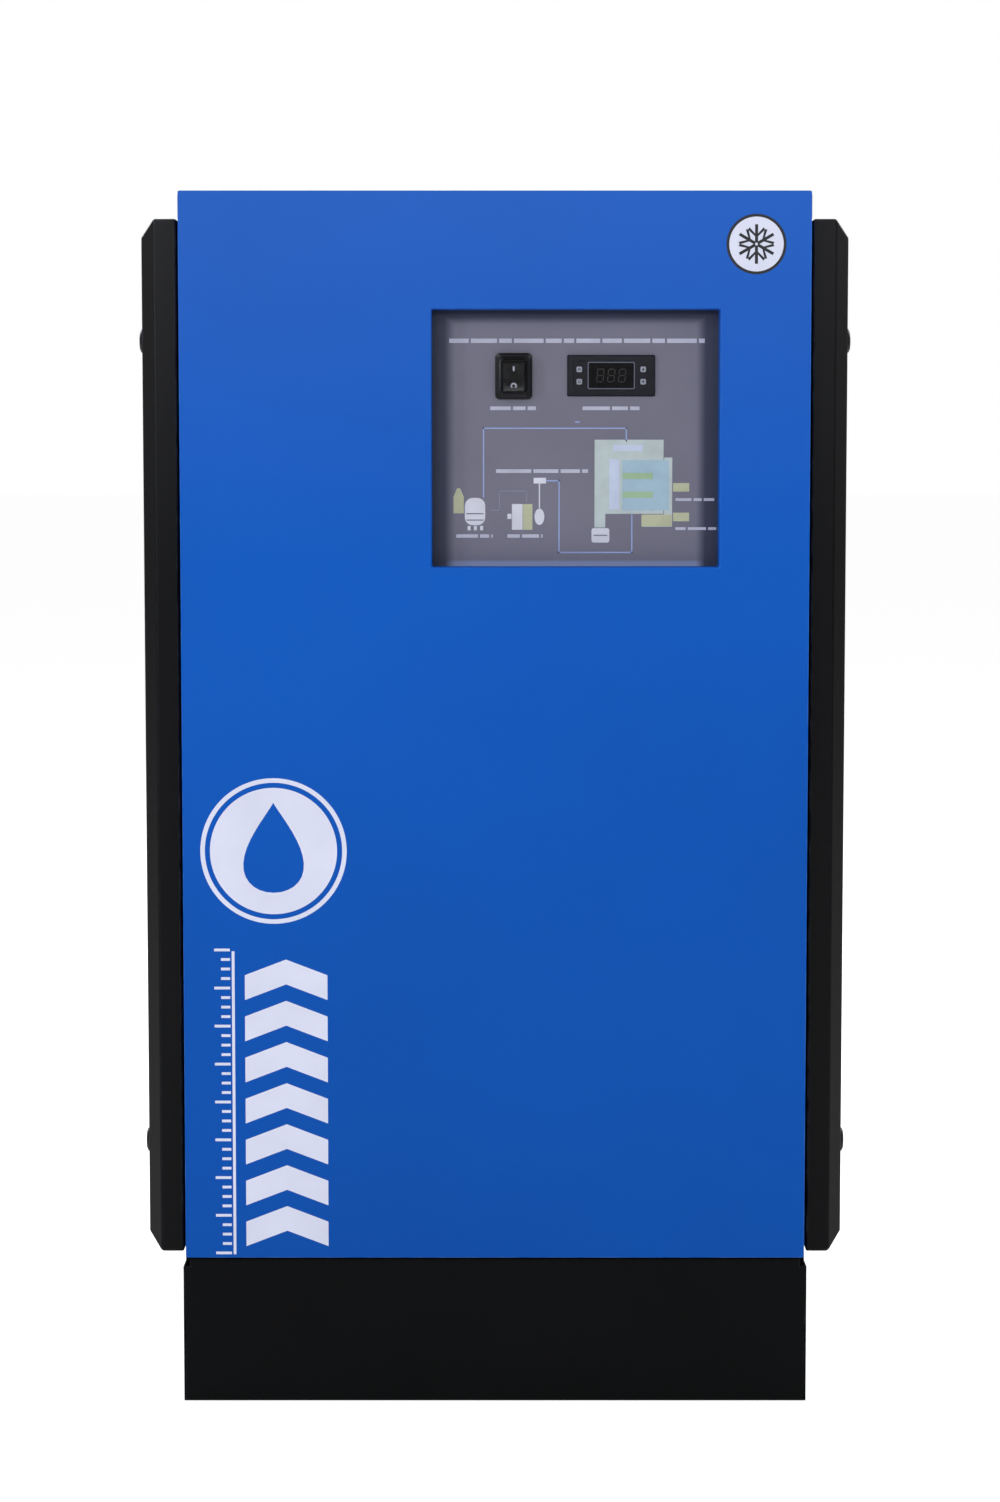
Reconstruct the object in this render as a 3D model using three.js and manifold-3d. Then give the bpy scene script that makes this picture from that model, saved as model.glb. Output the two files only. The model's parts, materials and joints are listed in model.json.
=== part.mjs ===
// Refrigerated compressed-air dryer: a floor-standing sheet-metal cabinet on a plinth, with a recessed
// control panel at the front and a hermetic refrigeration circuit inside.
// Millimetres. +Z is up, -Y is the front, and the origin is on the floor at the middle of the overall box.

import * as THREE from "three";
import { mergeVertices } from "three/addons/utils/BufferGeometryUtils.js";
import Module from "manifold-3d";

const wasm = await Module();
wasm.setup();

// ---------------------------------------------------------------- driving dimensions

const GAP = 0.3; // clearance between pieces that rest on each other
const SHEET = 2; // cabinet sheet
const PLATE = 3; // plinth and floor plate

const BODY_HALF_W = 278; // frame and plinth
const FRONT_Y = -335; // face of the front panel
const REAR_Y = 295; // face of the rear panel
const PORT_Y = 335; // open ends of the two air ports

const PLINTH_H = 130;
const PLINTH_FRONT_Y = FRONT_Y + 7;
const PLINTH_REAR_Y = REAR_Y - 5;
const FLOOR_Z = PLINTH_H + GAP + PLATE; // upper face of the floor plate

const PANEL_HALF_W = 275;
const PANEL_LOW_Z = PLINTH_H + 2;
const TOP_Z = 1072;
const PANEL_RETURN = 28;

const COVER_LOW_Z = 133;
const COVER_HIGH_Z = 1049;
const COVER_FRONT_Y = FRONT_Y + 20;
const COVER_REAR_Y = 285;
const COVER_RIM = 20; // straight wall before the bevel
const COVER_RISE = 12; // bevel, outwards
const COVER_INSET = 15; // bevel, inwards along the face
const COVER_X = BODY_HALF_W + GAP; // rim of a side cover
const FACE_X = COVER_X + COVER_RIM + COVER_RISE; // outer face of a side cover

const WINDOW = { x0: -55, x1: 196, z0: 746, z1: 970 };
const CONTROL_Y = FRONT_Y + 25; // face of the control plate
const CONTROL_BORDER = 19; // control plate beyond the window, on each side

const SWITCH = { x: 16.5, z: 912.5, hole: [22.8, 30.8], flange: [25, 32], cap: [32.5, 40.5] };
const CONTROLLER = { x: 102, z: 913, hole: [71, 29.5], bezel: [77, 36], thick: 4, lens: [42, 24.5] };
const KEY = { size: 5, half_pitch_x: 28, half_pitch_z: 5.4, travel: 0.6, proud: 0.9 };

const POST_W = 40;
const POST_T = 2.5;
const POST_HIGH_Z = 1049.5;
const POST_X = BODY_HALF_W - GAP; // outer side of a post

const LATCH_Y = -250;
const LATCH_Z = [222, 945];
const LATCH_CAM = 34;

const COMPRESSOR = { x: -120, y: -130, r: 95, high: 296 };
const PIPE_R = 6;

const FAN = { x: 0, z: 355, r: 149, hub_r: 45, y0: 226, y1: 262, blades: 5, opening_r: 156 };
const CONDENSER = { half_w: 200, y0: 120, y1: 180, z0: 150, z1: 560 };

const EXCHANGER = { x0: -110, x1: 70, y0: -25, y1: 105, z0: 634, z1: 990 };
const AIR_PORT = { x: -20, z: [740, 920], pipe_r: 24, bore_r: 20, hex_r: 34, collar_r: 27 };

const DRAIN = { x: -20, y: 40 };
const HOSE_X = -222;
const DRAIN_OUT_Z = 180;
const GLAND = { x: 222, z: 200, r: 12.5 };

// ---------------------------------------------------------------- solids

// A closed geometry as a manifold-3d solid.
function solidOf(geometry) {
  const bare = geometry.clone();
  bare.deleteAttribute("normal");
  bare.deleteAttribute("uv");
  const merged = mergeVertices(bare, 1e-4);
  return new wasm.Manifold(
    new wasm.Mesh({
      numProp: 3,
      vertProperties: merged.attributes.position.array,
      triVerts: new Uint32Array(merged.index.array),
    }),
  );
}

function geometryOf(solid) {
  const mesh = solid.getMesh();
  const position = new THREE.BufferAttribute(new Float32Array(mesh.vertProperties), 3);
  const geometry = new THREE.BufferGeometry().setAttribute("position", position);
  geometry.setIndex(new THREE.BufferAttribute(new Uint32Array(mesh.triVerts), 1));
  const faceted = geometry.toNonIndexed();
  faceted.computeVertexNormals();
  return faceted;
}

const cut = (body, ...tools) =>
  geometryOf(tools.reduce((made, tool) => made.subtract(solidOf(tool)), solidOf(body)));

const join = (first, ...rest) =>
  geometryOf(rest.reduce((made, piece) => made.add(solidOf(piece)), solidOf(first)));

const box = ([x0, y0, z0], [x1, y1, z1]) =>
  new THREE.BoxGeometry(x1 - x0, y1 - y0, z1 - z0).translate((x0 + x1) / 2, (y0 + y1) / 2, (z0 + z1) / 2);

// A box centred on X and Z, from y0 to y1.
const slab = ([width, height], y0, y1, [x, z] = [0, 0]) =>
  box([x - width / 2, y0, z - height / 2], [x + width / 2, y1, z + height / 2]);

// A cylinder, cone or prism that starts at a point and runs along +X, +Y or +Z.
function rod(axis, [x, y, z], radius, length, sides = 24, end_radius = radius) {
  const made = new THREE.CylinderGeometry(end_radius, radius, length, sides).translate(0, length / 2, 0);
  if (axis === "x") made.rotateZ(-Math.PI / 2);
  if (axis === "z") made.rotateX(Math.PI / 2);
  return made.translate(x, y, z);
}

// A profile of [radius, height] points from the axis back to the axis, turned round Z.
const turned = (profile, sides) =>
  new THREE.LatheGeometry(profile.map(([r, h]) => new THREE.Vector2(r, h)), sides).rotateX(Math.PI / 2);

// Straight runs through the corner points, joined by bends of the given radius.
function bentPath(corners, bend) {
  const points = corners.map((c) => new THREE.Vector3(...c));
  const path = new THREE.CurvePath();
  let from = points[0];
  for (let i = 1; i < points.length - 1; i++) {
    const before = points[i - 1].clone().sub(points[i]).setLength(bend).add(points[i]);
    const after = points[i + 1].clone().sub(points[i]).setLength(bend).add(points[i]);
    path.add(new THREE.LineCurve3(from, before));
    path.add(new THREE.QuadraticBezierCurve3(before, points[i], after));
    from = after;
  }
  path.add(new THREE.LineCurve3(from, points.at(-1)));
  return path;
}

// A round pipe or hose along the corner points.
function pipe(corners, radius, bend = 24, sides = 8, step = 18) {
  const path = bentPath(corners, bend);
  const around = Array.from({ length: sides }, (_, i) => (2 * Math.PI * i) / sides);
  const rim = around.map((a) => new THREE.Vector2(radius * Math.cos(a), radius * Math.sin(a)));
  const section = new THREE.Shape(rim);
  return new THREE.ExtrudeGeometry(section, { extrudePath: path, steps: Math.ceil(path.getLength() / step) });
}

// An outline of [a, b] points, extruded along the axis that it doesn't use: "xz" along +Y, "yz" along +X.
function prism(plane, outline, from, length) {
  const shape = new THREE.Shape(outline.map(([a, b]) => new THREE.Vector2(a, b)));
  const made = new THREE.ExtrudeGeometry(shape, { depth: length, bevelEnabled: false });
  if (plane === "xz") return made.rotateX(Math.PI / 2).translate(0, from + length, 0);
  return made.rotateX(Math.PI / 2).rotateZ(Math.PI / 2).translate(from, 0, 0);
}

// A folded tray: a box with walls of the given thickness, open on one side: "front", "rear" or "bottom".
function tray([x0, y0, z0], [x1, y1, z1], t, open) {
  const low = [x0 + t, y0 + t, z0 + t];
  const high = [x1 - t, y1 - t, z1 - t];
  if (open === "front") low[1] = y0 - 1;
  if (open === "rear") high[1] = y1 + 1;
  if (open === "bottom") low[2] = z0 - 1;
  return cut(box([x0, y0, z0], [x1, y1, z1]), box(low, high));
}

// ---------------------------------------------------------------- materials and groups

const paint = (color, roughness, metalness) =>
  new THREE.MeshStandardMaterial({ color, roughness, metalness });

const MATERIALS = {
  blue: paint(0x1155af, 0.42, 0.1),
  black: paint(0x141517, 0.55, 0.2),
  grey: paint(0x6d6e80, 0.5, 0.1),
  zinc: paint(0xb4b8ba, 0.4, 0.9),
  plastic: paint(0x1a1c24, 0.5, 0),
  gloss: paint(0x0b0c0f, 0.15, 0),
  clear: new THREE.MeshStandardMaterial({
    color: 0xdfe4e8,
    roughness: 0.1,
    transparent: true,
    opacity: 0.25,
  }),
  key: paint(0xb9bcc4, 0.5, 0),
  rubber: paint(0x222222, 0.85, 0),
  copper: paint(0xb87352, 0.35, 1),
  brass: paint(0xc9a356, 0.35, 1),
  aluminium: paint(0xc8ccd0, 0.4, 0.9),
  foam: paint(0x2a2b2d, 0.95, 0),
  shell: paint(0x101113, 0.35, 0.4),
  hose: paint(0xe4e6e2, 0.4, 0),
};

const dryer = new THREE.Group();

function group(...at) {
  const made = new THREE.Group();
  made.position.set(...at);
  dryer.add(made);
  return made;
}

function add(parent, name, material, geometry, at = [0, 0, 0], turn_z = 0) {
  const mesh = new THREE.Mesh(geometry, MATERIALS[material]);
  mesh.name = name;
  mesh.position.set(...at);
  mesh.rotation.z = turn_z;
  parent.add(mesh);
}

// ---------------------------------------------------------------- plinth

const RAIL_FLANGE = 40;
const COVER_DEPTH = 25;
const FORK = { y: [-205, 65], length: 140, z0: 22, z1: 92 };
const FLOOR_FRONT_Y = -303;

// A C-section rail along Y, open inwards, with two slots for the forks of a lift truck.
function plinthRail() {
  const y0 = PLINTH_FRONT_Y + COVER_DEPTH + GAP;
  const y1 = PLINTH_REAR_Y - RAIL_FLANGE - GAP;
  const channel = cut(
    box([-BODY_HALF_W, y0, 0], [-BODY_HALF_W + RAIL_FLANGE, y1, PLINTH_H]),
    box([-BODY_HALF_W + PLATE, y0 - 1, PLATE], [0, y1 + 1, PLINTH_H - PLATE]),
  );
  const slots = FORK.y.map((y) => box([-BODY_HALF_W - 1, y, FORK.z0], [0, y + FORK.length, FORK.z1]));
  return cut(channel, ...slots);
}

// The same rail for the right, mirrored across the YZ plane.
function mirrored(geometry) {
  const made = geometry.clone().scale(-1, 1, 1);
  const p = made.getAttribute("position");
  const swap = new THREE.Vector3();
  const keep = new THREE.Vector3();
  for (let i = 0; i < p.count; i += 3) {
    swap.fromBufferAttribute(p, i + 1);
    keep.fromBufferAttribute(p, i + 2);
    p.setXYZ(i + 1, ...keep);
    p.setXYZ(i + 2, ...swap);
  }
  made.computeVertexNormals();
  return made;
}

const CORNER_CUT = { across: 6, down: 8 };
const SIDE_SLOT = { z0: 44, z1: 70, y0: 3, y1: 13 }; // in the cover's side flanges, y from its front face

function plinthFrontCover() {
  const shell = tray(
    [-BODY_HALF_W, PLINTH_FRONT_Y, 0],
    [BODY_HALF_W, PLINTH_FRONT_Y + COVER_DEPTH, PLINTH_H],
    SHEET,
    "rear",
  );
  const corner = (side) =>
    prism(
      "xz",
      [
        [side * (BODY_HALF_W + 1), PLINTH_H + 1],
        [side * (BODY_HALF_W - CORNER_CUT.across), PLINTH_H + 1],
        [side * (BODY_HALF_W + 1), PLINTH_H - CORNER_CUT.down],
      ],
      PLINTH_FRONT_Y - 1,
      COVER_DEPTH + 2,
    );
  const slot = box(
    [-BODY_HALF_W - 1, PLINTH_FRONT_Y + SIDE_SLOT.y0, SIDE_SLOT.z0],
    [BODY_HALF_W + 1, PLINTH_FRONT_Y + SIDE_SLOT.y1, SIDE_SLOT.z1],
  );
  return cut(shell, corner(-1), corner(1), slot);
}

const plinth = group(0, 0, 0);
const rail = plinthRail();
add(plinth, "plinth_left_rail", "black", rail);
add(plinth, "plinth_right_rail", "black", mirrored(rail));
add(plinth, "plinth_front_cover", "black", plinthFrontCover());
add(
  plinth,
  "plinth_rear_member",
  "black",
  tray(
    [-BODY_HALF_W, PLINTH_REAR_Y - RAIL_FLANGE, 0],
    [BODY_HALF_W, PLINTH_REAR_Y, PLINTH_H],
    PLATE,
    "front",
  ),
);
add(
  plinth,
  "floor_plate",
  "zinc",
  box(
    [-BODY_HALF_W + SHEET, FLOOR_FRONT_Y, PLINTH_H + GAP],
    [BODY_HALF_W - SHEET, REAR_Y - SHEET - GAP, FLOOR_Z],
  ),
);

// ---------------------------------------------------------------- frame posts

// An angle post with its outer corner at the origin and its legs along +X and +Y.
function cornerPost() {
  const height = POST_HIGH_Z - FLOOR_Z - GAP;
  const block = box([0, 0, 0], [POST_W, POST_W, height]);
  return cut(block, box([POST_T, POST_T, -1], [POST_W + 1, POST_W + 1, height + 1]));
}

const FRONT_POST_Y = FRONT_Y + PANEL_RETURN + 3;
const REAR_POST_Y = REAR_Y - SHEET - GAP;
const POSTS = [
  ["front_left_post", -POST_X, FRONT_POST_Y, 0],
  ["front_right_post", POST_X, FRONT_POST_Y, Math.PI / 2],
  ["rear_right_post", POST_X, REAR_POST_Y, Math.PI],
  ["rear_left_post", -POST_X, REAR_POST_Y, -Math.PI / 2],
];
const frame = group(0, 0, FLOOR_Z + GAP);
const post = cornerPost();
for (const [name, x, y, turn] of POSTS) add(frame, name, "black", post, [x, y, 0], turn);

// ---------------------------------------------------------------- front panel

const WINDOW_RETURN = 24.5;

function frontPanel() {
  const shell = tray(
    [-PANEL_HALF_W, FRONT_Y, PANEL_LOW_Z],
    [PANEL_HALF_W, FRONT_Y + PANEL_RETURN, TOP_Z],
    SHEET,
    "rear",
  );
  const collar = box(
    [WINDOW.x0 - SHEET, FRONT_Y + 1, WINDOW.z0 - SHEET],
    [WINDOW.x1 + SHEET, FRONT_Y + WINDOW_RETURN, WINDOW.z1 + SHEET],
  );
  const opening = box([WINDOW.x0, FRONT_Y - 1, WINDOW.z0], [WINDOW.x1, FRONT_Y + PANEL_RETURN, WINDOW.z1]);
  return cut(join(shell, collar), opening);
}

const covers = group(0, 0, 0);
add(covers, "front_panel", "blue", frontPanel());

// ---------------------------------------------------------------- side covers

const COVER_LIP = 20; // flange that rests on the posts
const LOUVRE = { rows: 10, pitch: 26, low_z: 210, slot: [190, 7], y: [-128, 92] };
const LATCH_HOLE_R = 5.5;

// A rectangle in Y and Z, raised along +X by a straight rim and then a bevel.
function bevelledBlock([y0, z0], [y1, z1], x0, rim, rise, inset) {
  const outline = new THREE.Shape([
    new THREE.Vector2(y0, z0),
    new THREE.Vector2(y1, z0),
    new THREE.Vector2(y1, z1),
    new THREE.Vector2(y0, z1),
  ]);
  const both_ways = new THREE.ExtrudeGeometry(outline, {
    depth: 2 * rim,
    bevelThickness: rise,
    bevelSize: inset,
    bevelOffset: -inset,
    bevelSegments: 1,
  });
  const upright = both_ways.translate(0, 0, -rim).rotateX(Math.PI / 2).rotateZ(Math.PI / 2);
  return cut(upright, box([-2 * rim - rise, y0 - 1, z0 - 1], [0, y1 + 1, z1 + 1])).translate(x0, 0, 0);
}

function sideCover() {
  const outer = bevelledBlock(
    [COVER_FRONT_Y, COVER_LOW_Z],
    [COVER_REAR_Y, COVER_HIGH_Z],
    COVER_X,
    COVER_RIM,
    COVER_RISE,
    COVER_INSET,
  );
  const hollow = bevelledBlock(
    [COVER_FRONT_Y + SHEET, COVER_LOW_Z + SHEET],
    [COVER_REAR_Y - SHEET, COVER_HIGH_Z - SHEET],
    COVER_X + SHEET,
    COVER_RIM - SHEET - 0.8,
    COVER_RISE - SHEET + 0.8,
    COVER_INSET - 1,
  );
  const mouth = box(
    [COVER_X - 1, COVER_FRONT_Y + COVER_LIP, COVER_LOW_Z + COVER_LIP],
    [COVER_X + SHEET + 1, COVER_REAR_Y - COVER_LIP, COVER_HIGH_Z - COVER_LIP],
  );
  const [length, height] = LOUVRE.slot;
  const slots = [];
  for (let row = 0; row < LOUVRE.rows; row++) {
    const z = LOUVRE.low_z + row * LOUVRE.pitch;
    for (const y of LOUVRE.y) {
      slots.push(box([FACE_X - 5, y - length / 2, z], [FACE_X + 1, y + length / 2, z + height]));
    }
  }
  const holes = LATCH_Z.map((z) => rod("x", [FACE_X - 5, LATCH_Y, z], LATCH_HOLE_R, 10, 16));
  return cut(outer, hollow, mouth, ...slots, ...holes);
}

const side_cover = sideCover();
add(covers, "right_side_cover", "black", side_cover);
add(covers, "left_side_cover", "black", mirrored(side_cover));

// ---------------------------------------------------------------- quarter-turn latches

const LATCH_HEAD = { r: 12, low: 3, high: 6.6, top_r: 9 };
const LATCH_SHAFT_R = 5;
const LATCH_CAM_T = 4;
const LATCH_SLOT = { half_length: 6, half_width: 1.3, depth: 1.8 };

// Head, shaft and cam of a latch for the right side, with its axis along X and its cam pointing forwards.
function latch() {
  const cam_x = POST_X - POST_T - GAP;
  const head = rod("x", [FACE_X + GAP, 0, 0], LATCH_HEAD.r, LATCH_HEAD.low, 20);
  const dome = rod(
    "x",
    [FACE_X + GAP + LATCH_HEAD.low, 0, 0],
    LATCH_HEAD.r,
    LATCH_HEAD.high - LATCH_HEAD.low,
    20,
    LATCH_HEAD.top_r,
  );
  const shaft_x = cam_x - LATCH_CAM_T - 1;
  const shaft = rod("x", [shaft_x, 0, 0], LATCH_SHAFT_R, FACE_X + GAP + 1 - shaft_x, 12);
  const cam = box([cam_x - LATCH_CAM_T, -LATCH_CAM, -8], [cam_x, 8, 8]);
  const tip_x = FACE_X + LATCH_HEAD.high;
  const slot = box(
    [tip_x - LATCH_SLOT.depth, -LATCH_SLOT.half_length, -LATCH_SLOT.half_width],
    [tip_x + 2, LATCH_SLOT.half_length, LATCH_SLOT.half_width],
  );
  return cut(join(head, dome, shaft, cam), slot);
}

const right_latch = latch();
const left_latch = mirrored(right_latch);
const LATCH_LEVELS = ["lower", "upper"];
LATCH_LEVELS.forEach((level, i) => {
  add(covers, `right_${level}_latch`, "black", right_latch, [0, LATCH_Y, LATCH_Z[i]]);
  add(covers, `left_${level}_latch`, "black", left_latch, [0, LATCH_Y, LATCH_Z[i]]);
});

// ---------------------------------------------------------------- top cover and rear panel

const TOP_FRONT_Y = FRONT_Y + PANEL_RETURN + 0.5;
const TOP_SKIRT_Z = COVER_HIGH_Z + 1;
add(
  covers,
  "top_cover",
  "black",
  tray([-BODY_HALF_W, TOP_FRONT_Y, TOP_SKIRT_Z], [BODY_HALF_W, REAR_Y, TOP_Z], SHEET, "bottom"),
);

const VENT = { x: 150, low_z: 690, rows: 9, pitch: 24, slot: [150, 6] };
const HOSE_HOLE_R = 7.5;

function rearPanel() {
  const y0 = REAR_Y - SHEET;
  const hole = (x, z, r, sides) => rod("y", [x, y0 - 1, z], r, SHEET + 2, sides);
  const vents = Array.from({ length: VENT.rows }, (_, i) =>
    slab(VENT.slot, y0 - 1, REAR_Y + 1, [VENT.x, VENT.low_z + i * VENT.pitch]),
  );
  return cut(
    box([-PANEL_HALF_W, y0, COVER_LOW_Z + 1], [PANEL_HALF_W, REAR_Y, POST_HIGH_Z - 0.5]),
    hole(FAN.x, FAN.z, FAN.opening_r, 48),
    ...AIR_PORT.z.map((z) => hole(AIR_PORT.x, z, AIR_PORT.collar_r, 24)),
    hole(HOSE_X, DRAIN_OUT_Z, HOSE_HOLE_R, 16),
    hole(GLAND.x, GLAND.z, GLAND.r + 0.5, 20),
    ...vents,
  );
}

add(covers, "rear_panel", "black", rearPanel());

const GUARD = { r: 172, border: 14, rings: 5, bar: 5, half_spoke: 8, thick: 3, first_r: 42 };

// A stamped fan guard: ring-shaped slots parted by four spokes.
function fanGuard() {
  const disc = rod("y", [FAN.x, REAR_Y + GAP, FAN.z], GUARD.r, GUARD.thick, 48);
  const pitch = (GUARD.r - GUARD.border - GUARD.first_r) / GUARD.rings;
  const slots = [];
  for (let ring = 0; ring < GUARD.rings; ring++) {
    const inner = GUARD.first_r + ring * pitch;
    const outer = inner + pitch - GUARD.bar;
    for (let quarter = 0; quarter < 4; quarter++) {
      const start = (quarter * Math.PI) / 2 + Math.PI / 4;
      const end = start + Math.PI / 2;
      const outer_edge = GUARD.half_spoke / outer;
      const inner_edge = GUARD.half_spoke / inner;
      const shape = new THREE.Shape();
      shape.absarc(0, 0, outer, start + outer_edge, end - outer_edge, false);
      shape.absarc(0, 0, inner, end - inner_edge, start + inner_edge, true);
      const slot = new THREE.ExtrudeGeometry(shape, { depth: 10, bevelEnabled: false, curveSegments: 7 });
      slots.push(slot.rotateX(Math.PI / 2).translate(FAN.x, REAR_Y + 7, FAN.z));
    }
  }
  return cut(disc, ...slots);
}

add(covers, "fan_guard", "black", fanGuard());

// ---------------------------------------------------------------- control panel

const CONTROL_T = 2;
const CONTROL_LOW = [WINDOW.x0 - CONTROL_BORDER, WINDOW.z0 - CONTROL_BORDER];
const CONTROL_HIGH = [WINDOW.x1 + CONTROL_BORDER, WINDOW.z1 + CONTROL_BORDER];
const FACE_Y = CONTROL_Y - GAP; // what sits on the control plate starts here

function controlPlate() {
  const y1 = CONTROL_Y + CONTROL_T;
  return cut(
    box([CONTROL_LOW[0], CONTROL_Y, CONTROL_LOW[1]], [CONTROL_HIGH[0], y1, CONTROL_HIGH[1]]),
    slab(SWITCH.hole, CONTROL_Y - 1, y1 + 1, [SWITCH.x, SWITCH.z]),
    slab(CONTROLLER.hole, CONTROL_Y - 1, y1 + 1, [CONTROLLER.x, CONTROLLER.z]),
  );
}

const BOX_DEPTH = 108;
const controls = group(0, 0, 0);
add(controls, "control_plate", "grey", controlPlate());
add(
  controls,
  "electrical_box",
  "zinc",
  tray(
    [CONTROL_LOW[0] + 3, CONTROL_Y + CONTROL_T + GAP, CONTROL_LOW[1] + 3],
    [CONTROL_HIGH[0] - 3, CONTROL_Y + BOX_DEPTH, CONTROL_HIGH[1] - 3],
    SHEET,
    "front",
  ),
);

// ---------------------------------------------------------------- rocker switch

const BEZEL_T = 2;
const PIVOT_Y = FACE_Y + 0.8; // the rocker's axis, just behind the plate's face
const ROCKER = { half_w: 9.7, half_h: 12.5, tilt: 10, front: 3.5, back: 3 };
const degrees = (angle) => (angle * Math.PI) / 180;

const SWITCH_BODY = { size: [22, 30], depth: 25, pocket_h: 27.8, pocket_depth: 6.5 };
const TERMINAL = { size: [0.8, 6.3], length: 8, x: [-5, 5], z: [5, -6] };

function switchBody() {
  const rear_y = FACE_Y + SWITCH_BODY.depth;
  const terminals = TERMINAL.x.flatMap((x) =>
    TERMINAL.z.map((z) => slab(TERMINAL.size, rear_y - 1, rear_y + TERMINAL.length, [x, z])),
  );
  const body = join(
    slab(SWITCH.flange, FACE_Y - BEZEL_T, FACE_Y),
    slab(SWITCH_BODY.size, FACE_Y - 1, rear_y),
    ...terminals,
  );
  const pocket_size = [2 * ROCKER.half_w + 1, SWITCH_BODY.pocket_h];
  return cut(body, slab(pocket_size, FACE_Y - BEZEL_T - 1, PIVOT_Y + SWITCH_BODY.pocket_depth));
}

// The rocker about its own axis, standing in its off position with the upper half out.
function rocker() {
  const rise = ROCKER.front + ROCKER.half_h * Math.tan(degrees(ROCKER.tilt));
  const outline = [
    [-ROCKER.front, 0],
    [-rise, ROCKER.half_h],
    [ROCKER.back, ROCKER.half_h - 0.5],
    [ROCKER.back, -ROCKER.half_h + 0.5],
    [-rise, -ROCKER.half_h],
  ];
  return prism("yz", outline, -ROCKER.half_w, 2 * ROCKER.half_w).rotateX(degrees(ROCKER.tilt));
}

const CAP = { depth: 12.5, wall: 1, flange_t: 1.6, room: [1, 1.6] };

// A clear splash cap: a flange round the switch and a thin dome over it.
function splashCap() {
  const inside = SWITCH.flange.map((size, i) => size + CAP.room[i]);
  const dome = inside.map((size) => size + 2 * CAP.wall);
  return cut(
    join(slab(SWITCH.cap, FACE_Y - CAP.flange_t, FACE_Y), slab(dome, FACE_Y - CAP.depth, FACE_Y)),
    slab(inside, FACE_Y - CAP.depth + CAP.wall, FACE_Y + 1),
  );
}

const power_switch = group(SWITCH.x, 0, SWITCH.z);
add(power_switch, "switch_body", "plastic", switchBody());
add(power_switch, "switch_rocker", "gloss", rocker(), [0, PIVOT_Y, 0]);
add(power_switch, "switch_cap", "clear", splashCap());

// ---------------------------------------------------------------- temperature controller

const KEY_POCKET = KEY.size + 0.6;
const BEZEL_Y = FACE_Y - CONTROLLER.thick;
const KEYS = [
  ["key_set", -1, 1],
  ["key_power", -1, -1],
  ["key_up", 1, 1],
  ["key_down", 1, -1],
];

const CASE = { size: [70.4, 28.8], depth: 58 };
const TERMINAL_BLOCK = { size: [60, 8], depth: 6, z: -8 };
const LENS_RECESS = 1.2;
const KEY_POCKET_DEPTH = 3.5;

function controllerCase() {
  const rear_y = FACE_Y + CASE.depth;
  const body = join(
    slab(CONTROLLER.bezel, BEZEL_Y, FACE_Y),
    slab(CASE.size, FACE_Y - 1, rear_y),
    slab(TERMINAL_BLOCK.size, rear_y - 1, rear_y + TERMINAL_BLOCK.depth, [0, TERMINAL_BLOCK.z]),
  );
  const pockets = KEYS.map(([, side, level]) => {
    const middle = [side * KEY.half_pitch_x, level * KEY.half_pitch_z];
    return slab([KEY_POCKET, KEY_POCKET], BEZEL_Y - 1, BEZEL_Y + KEY_POCKET_DEPTH, middle);
  });
  return cut(body, slab(CONTROLLER.lens, BEZEL_Y - 1, BEZEL_Y + LENS_RECESS), ...pockets);
}

const controller = group(CONTROLLER.x, 0, CONTROLLER.z);
add(controller, "controller_case", "plastic", controllerCase());
add(
  controller,
  "controller_lens",
  "gloss",
  slab([CONTROLLER.lens[0] - 0.6, CONTROLLER.lens[1] - 0.6], BEZEL_Y + 0.1, BEZEL_Y + 0.9),
);
const key = slab([KEY.size, KEY.size], BEZEL_Y - KEY.proud, BEZEL_Y + 2.4);
for (const [name, side, level] of KEYS) {
  add(controller, name, "key", key, [side * KEY.half_pitch_x, 0, level * KEY.half_pitch_z]);
}

// ---------------------------------------------------------------- compressor

const FOOT = { half_x: 90, half_y: 75, low: 17, thick: 5, hole_r: 6 };

function compressorShell() {
  const r = COMPRESSOR.r;
  const low = FOOT.low + FOOT.thick;
  const seam = low + 0.45 * (COMPRESSOR.high - low);
  const profile = [
    [0, low - 1],
    [0.55 * r, low - 1],
    [0.84 * r, low + 10],
    [0.97 * r, low + 32],
    [0.97 * r, seam - 4],
    [r, seam - 3],
    [r, seam + 3],
    [0.97 * r, seam + 4],
    [0.97 * r, COMPRESSOR.high - 48],
    [0.88 * r, COMPRESSOR.high - 22],
    [0.62 * r, COMPRESSOR.high - 5],
    [0.3 * r, COMPRESSOR.high],
    [0, COMPRESSOR.high],
  ];
  const plate = box(
    [-FOOT.half_x - 18, -FOOT.half_y - 18, FOOT.low],
    [FOOT.half_x + 18, FOOT.half_y + 18, FOOT.low + FOOT.thick],
  );
  const holes = footPoints().map(([x, y]) => rod("z", [x, y, FOOT.low - 1], FOOT.hole_r, FOOT.thick + 2, 12));
  return cut(join(turned(profile, 28), plate), ...holes);
}

function footPoints() {
  return [-1, 1].flatMap((sx) => [-1, 1].map((sy) => [sx * FOOT.half_x, sy * FOOT.half_y]));
}

// A rubber mount: a stepped bush that the compressor's foot plate rests on.
function rubberMount() {
  const profile = [
    [0, GAP],
    [17, GAP],
    [17, 6],
    [13, 9],
    [16, 12],
    [16, FOOT.low - GAP],
    [0, FOOT.low - GAP],
  ];
  return turned(profile, 16);
}

const refrigeration = group(COMPRESSOR.x, COMPRESSOR.y, FLOOR_Z);
add(refrigeration, "compressor", "shell", compressorShell());
add(
  refrigeration,
  "compressor_terminal_cover",
  "plastic",
  box([-38, -COMPRESSOR.r - 36, 110], [38, -COMPRESSOR.r - 0.5, 178]),
);
footPoints().forEach(([x, y], i) => {
  add(refrigeration, `compressor_mount_${i + 1}`, "rubber", rubberMount(), [x, y, 0]);
});

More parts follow.
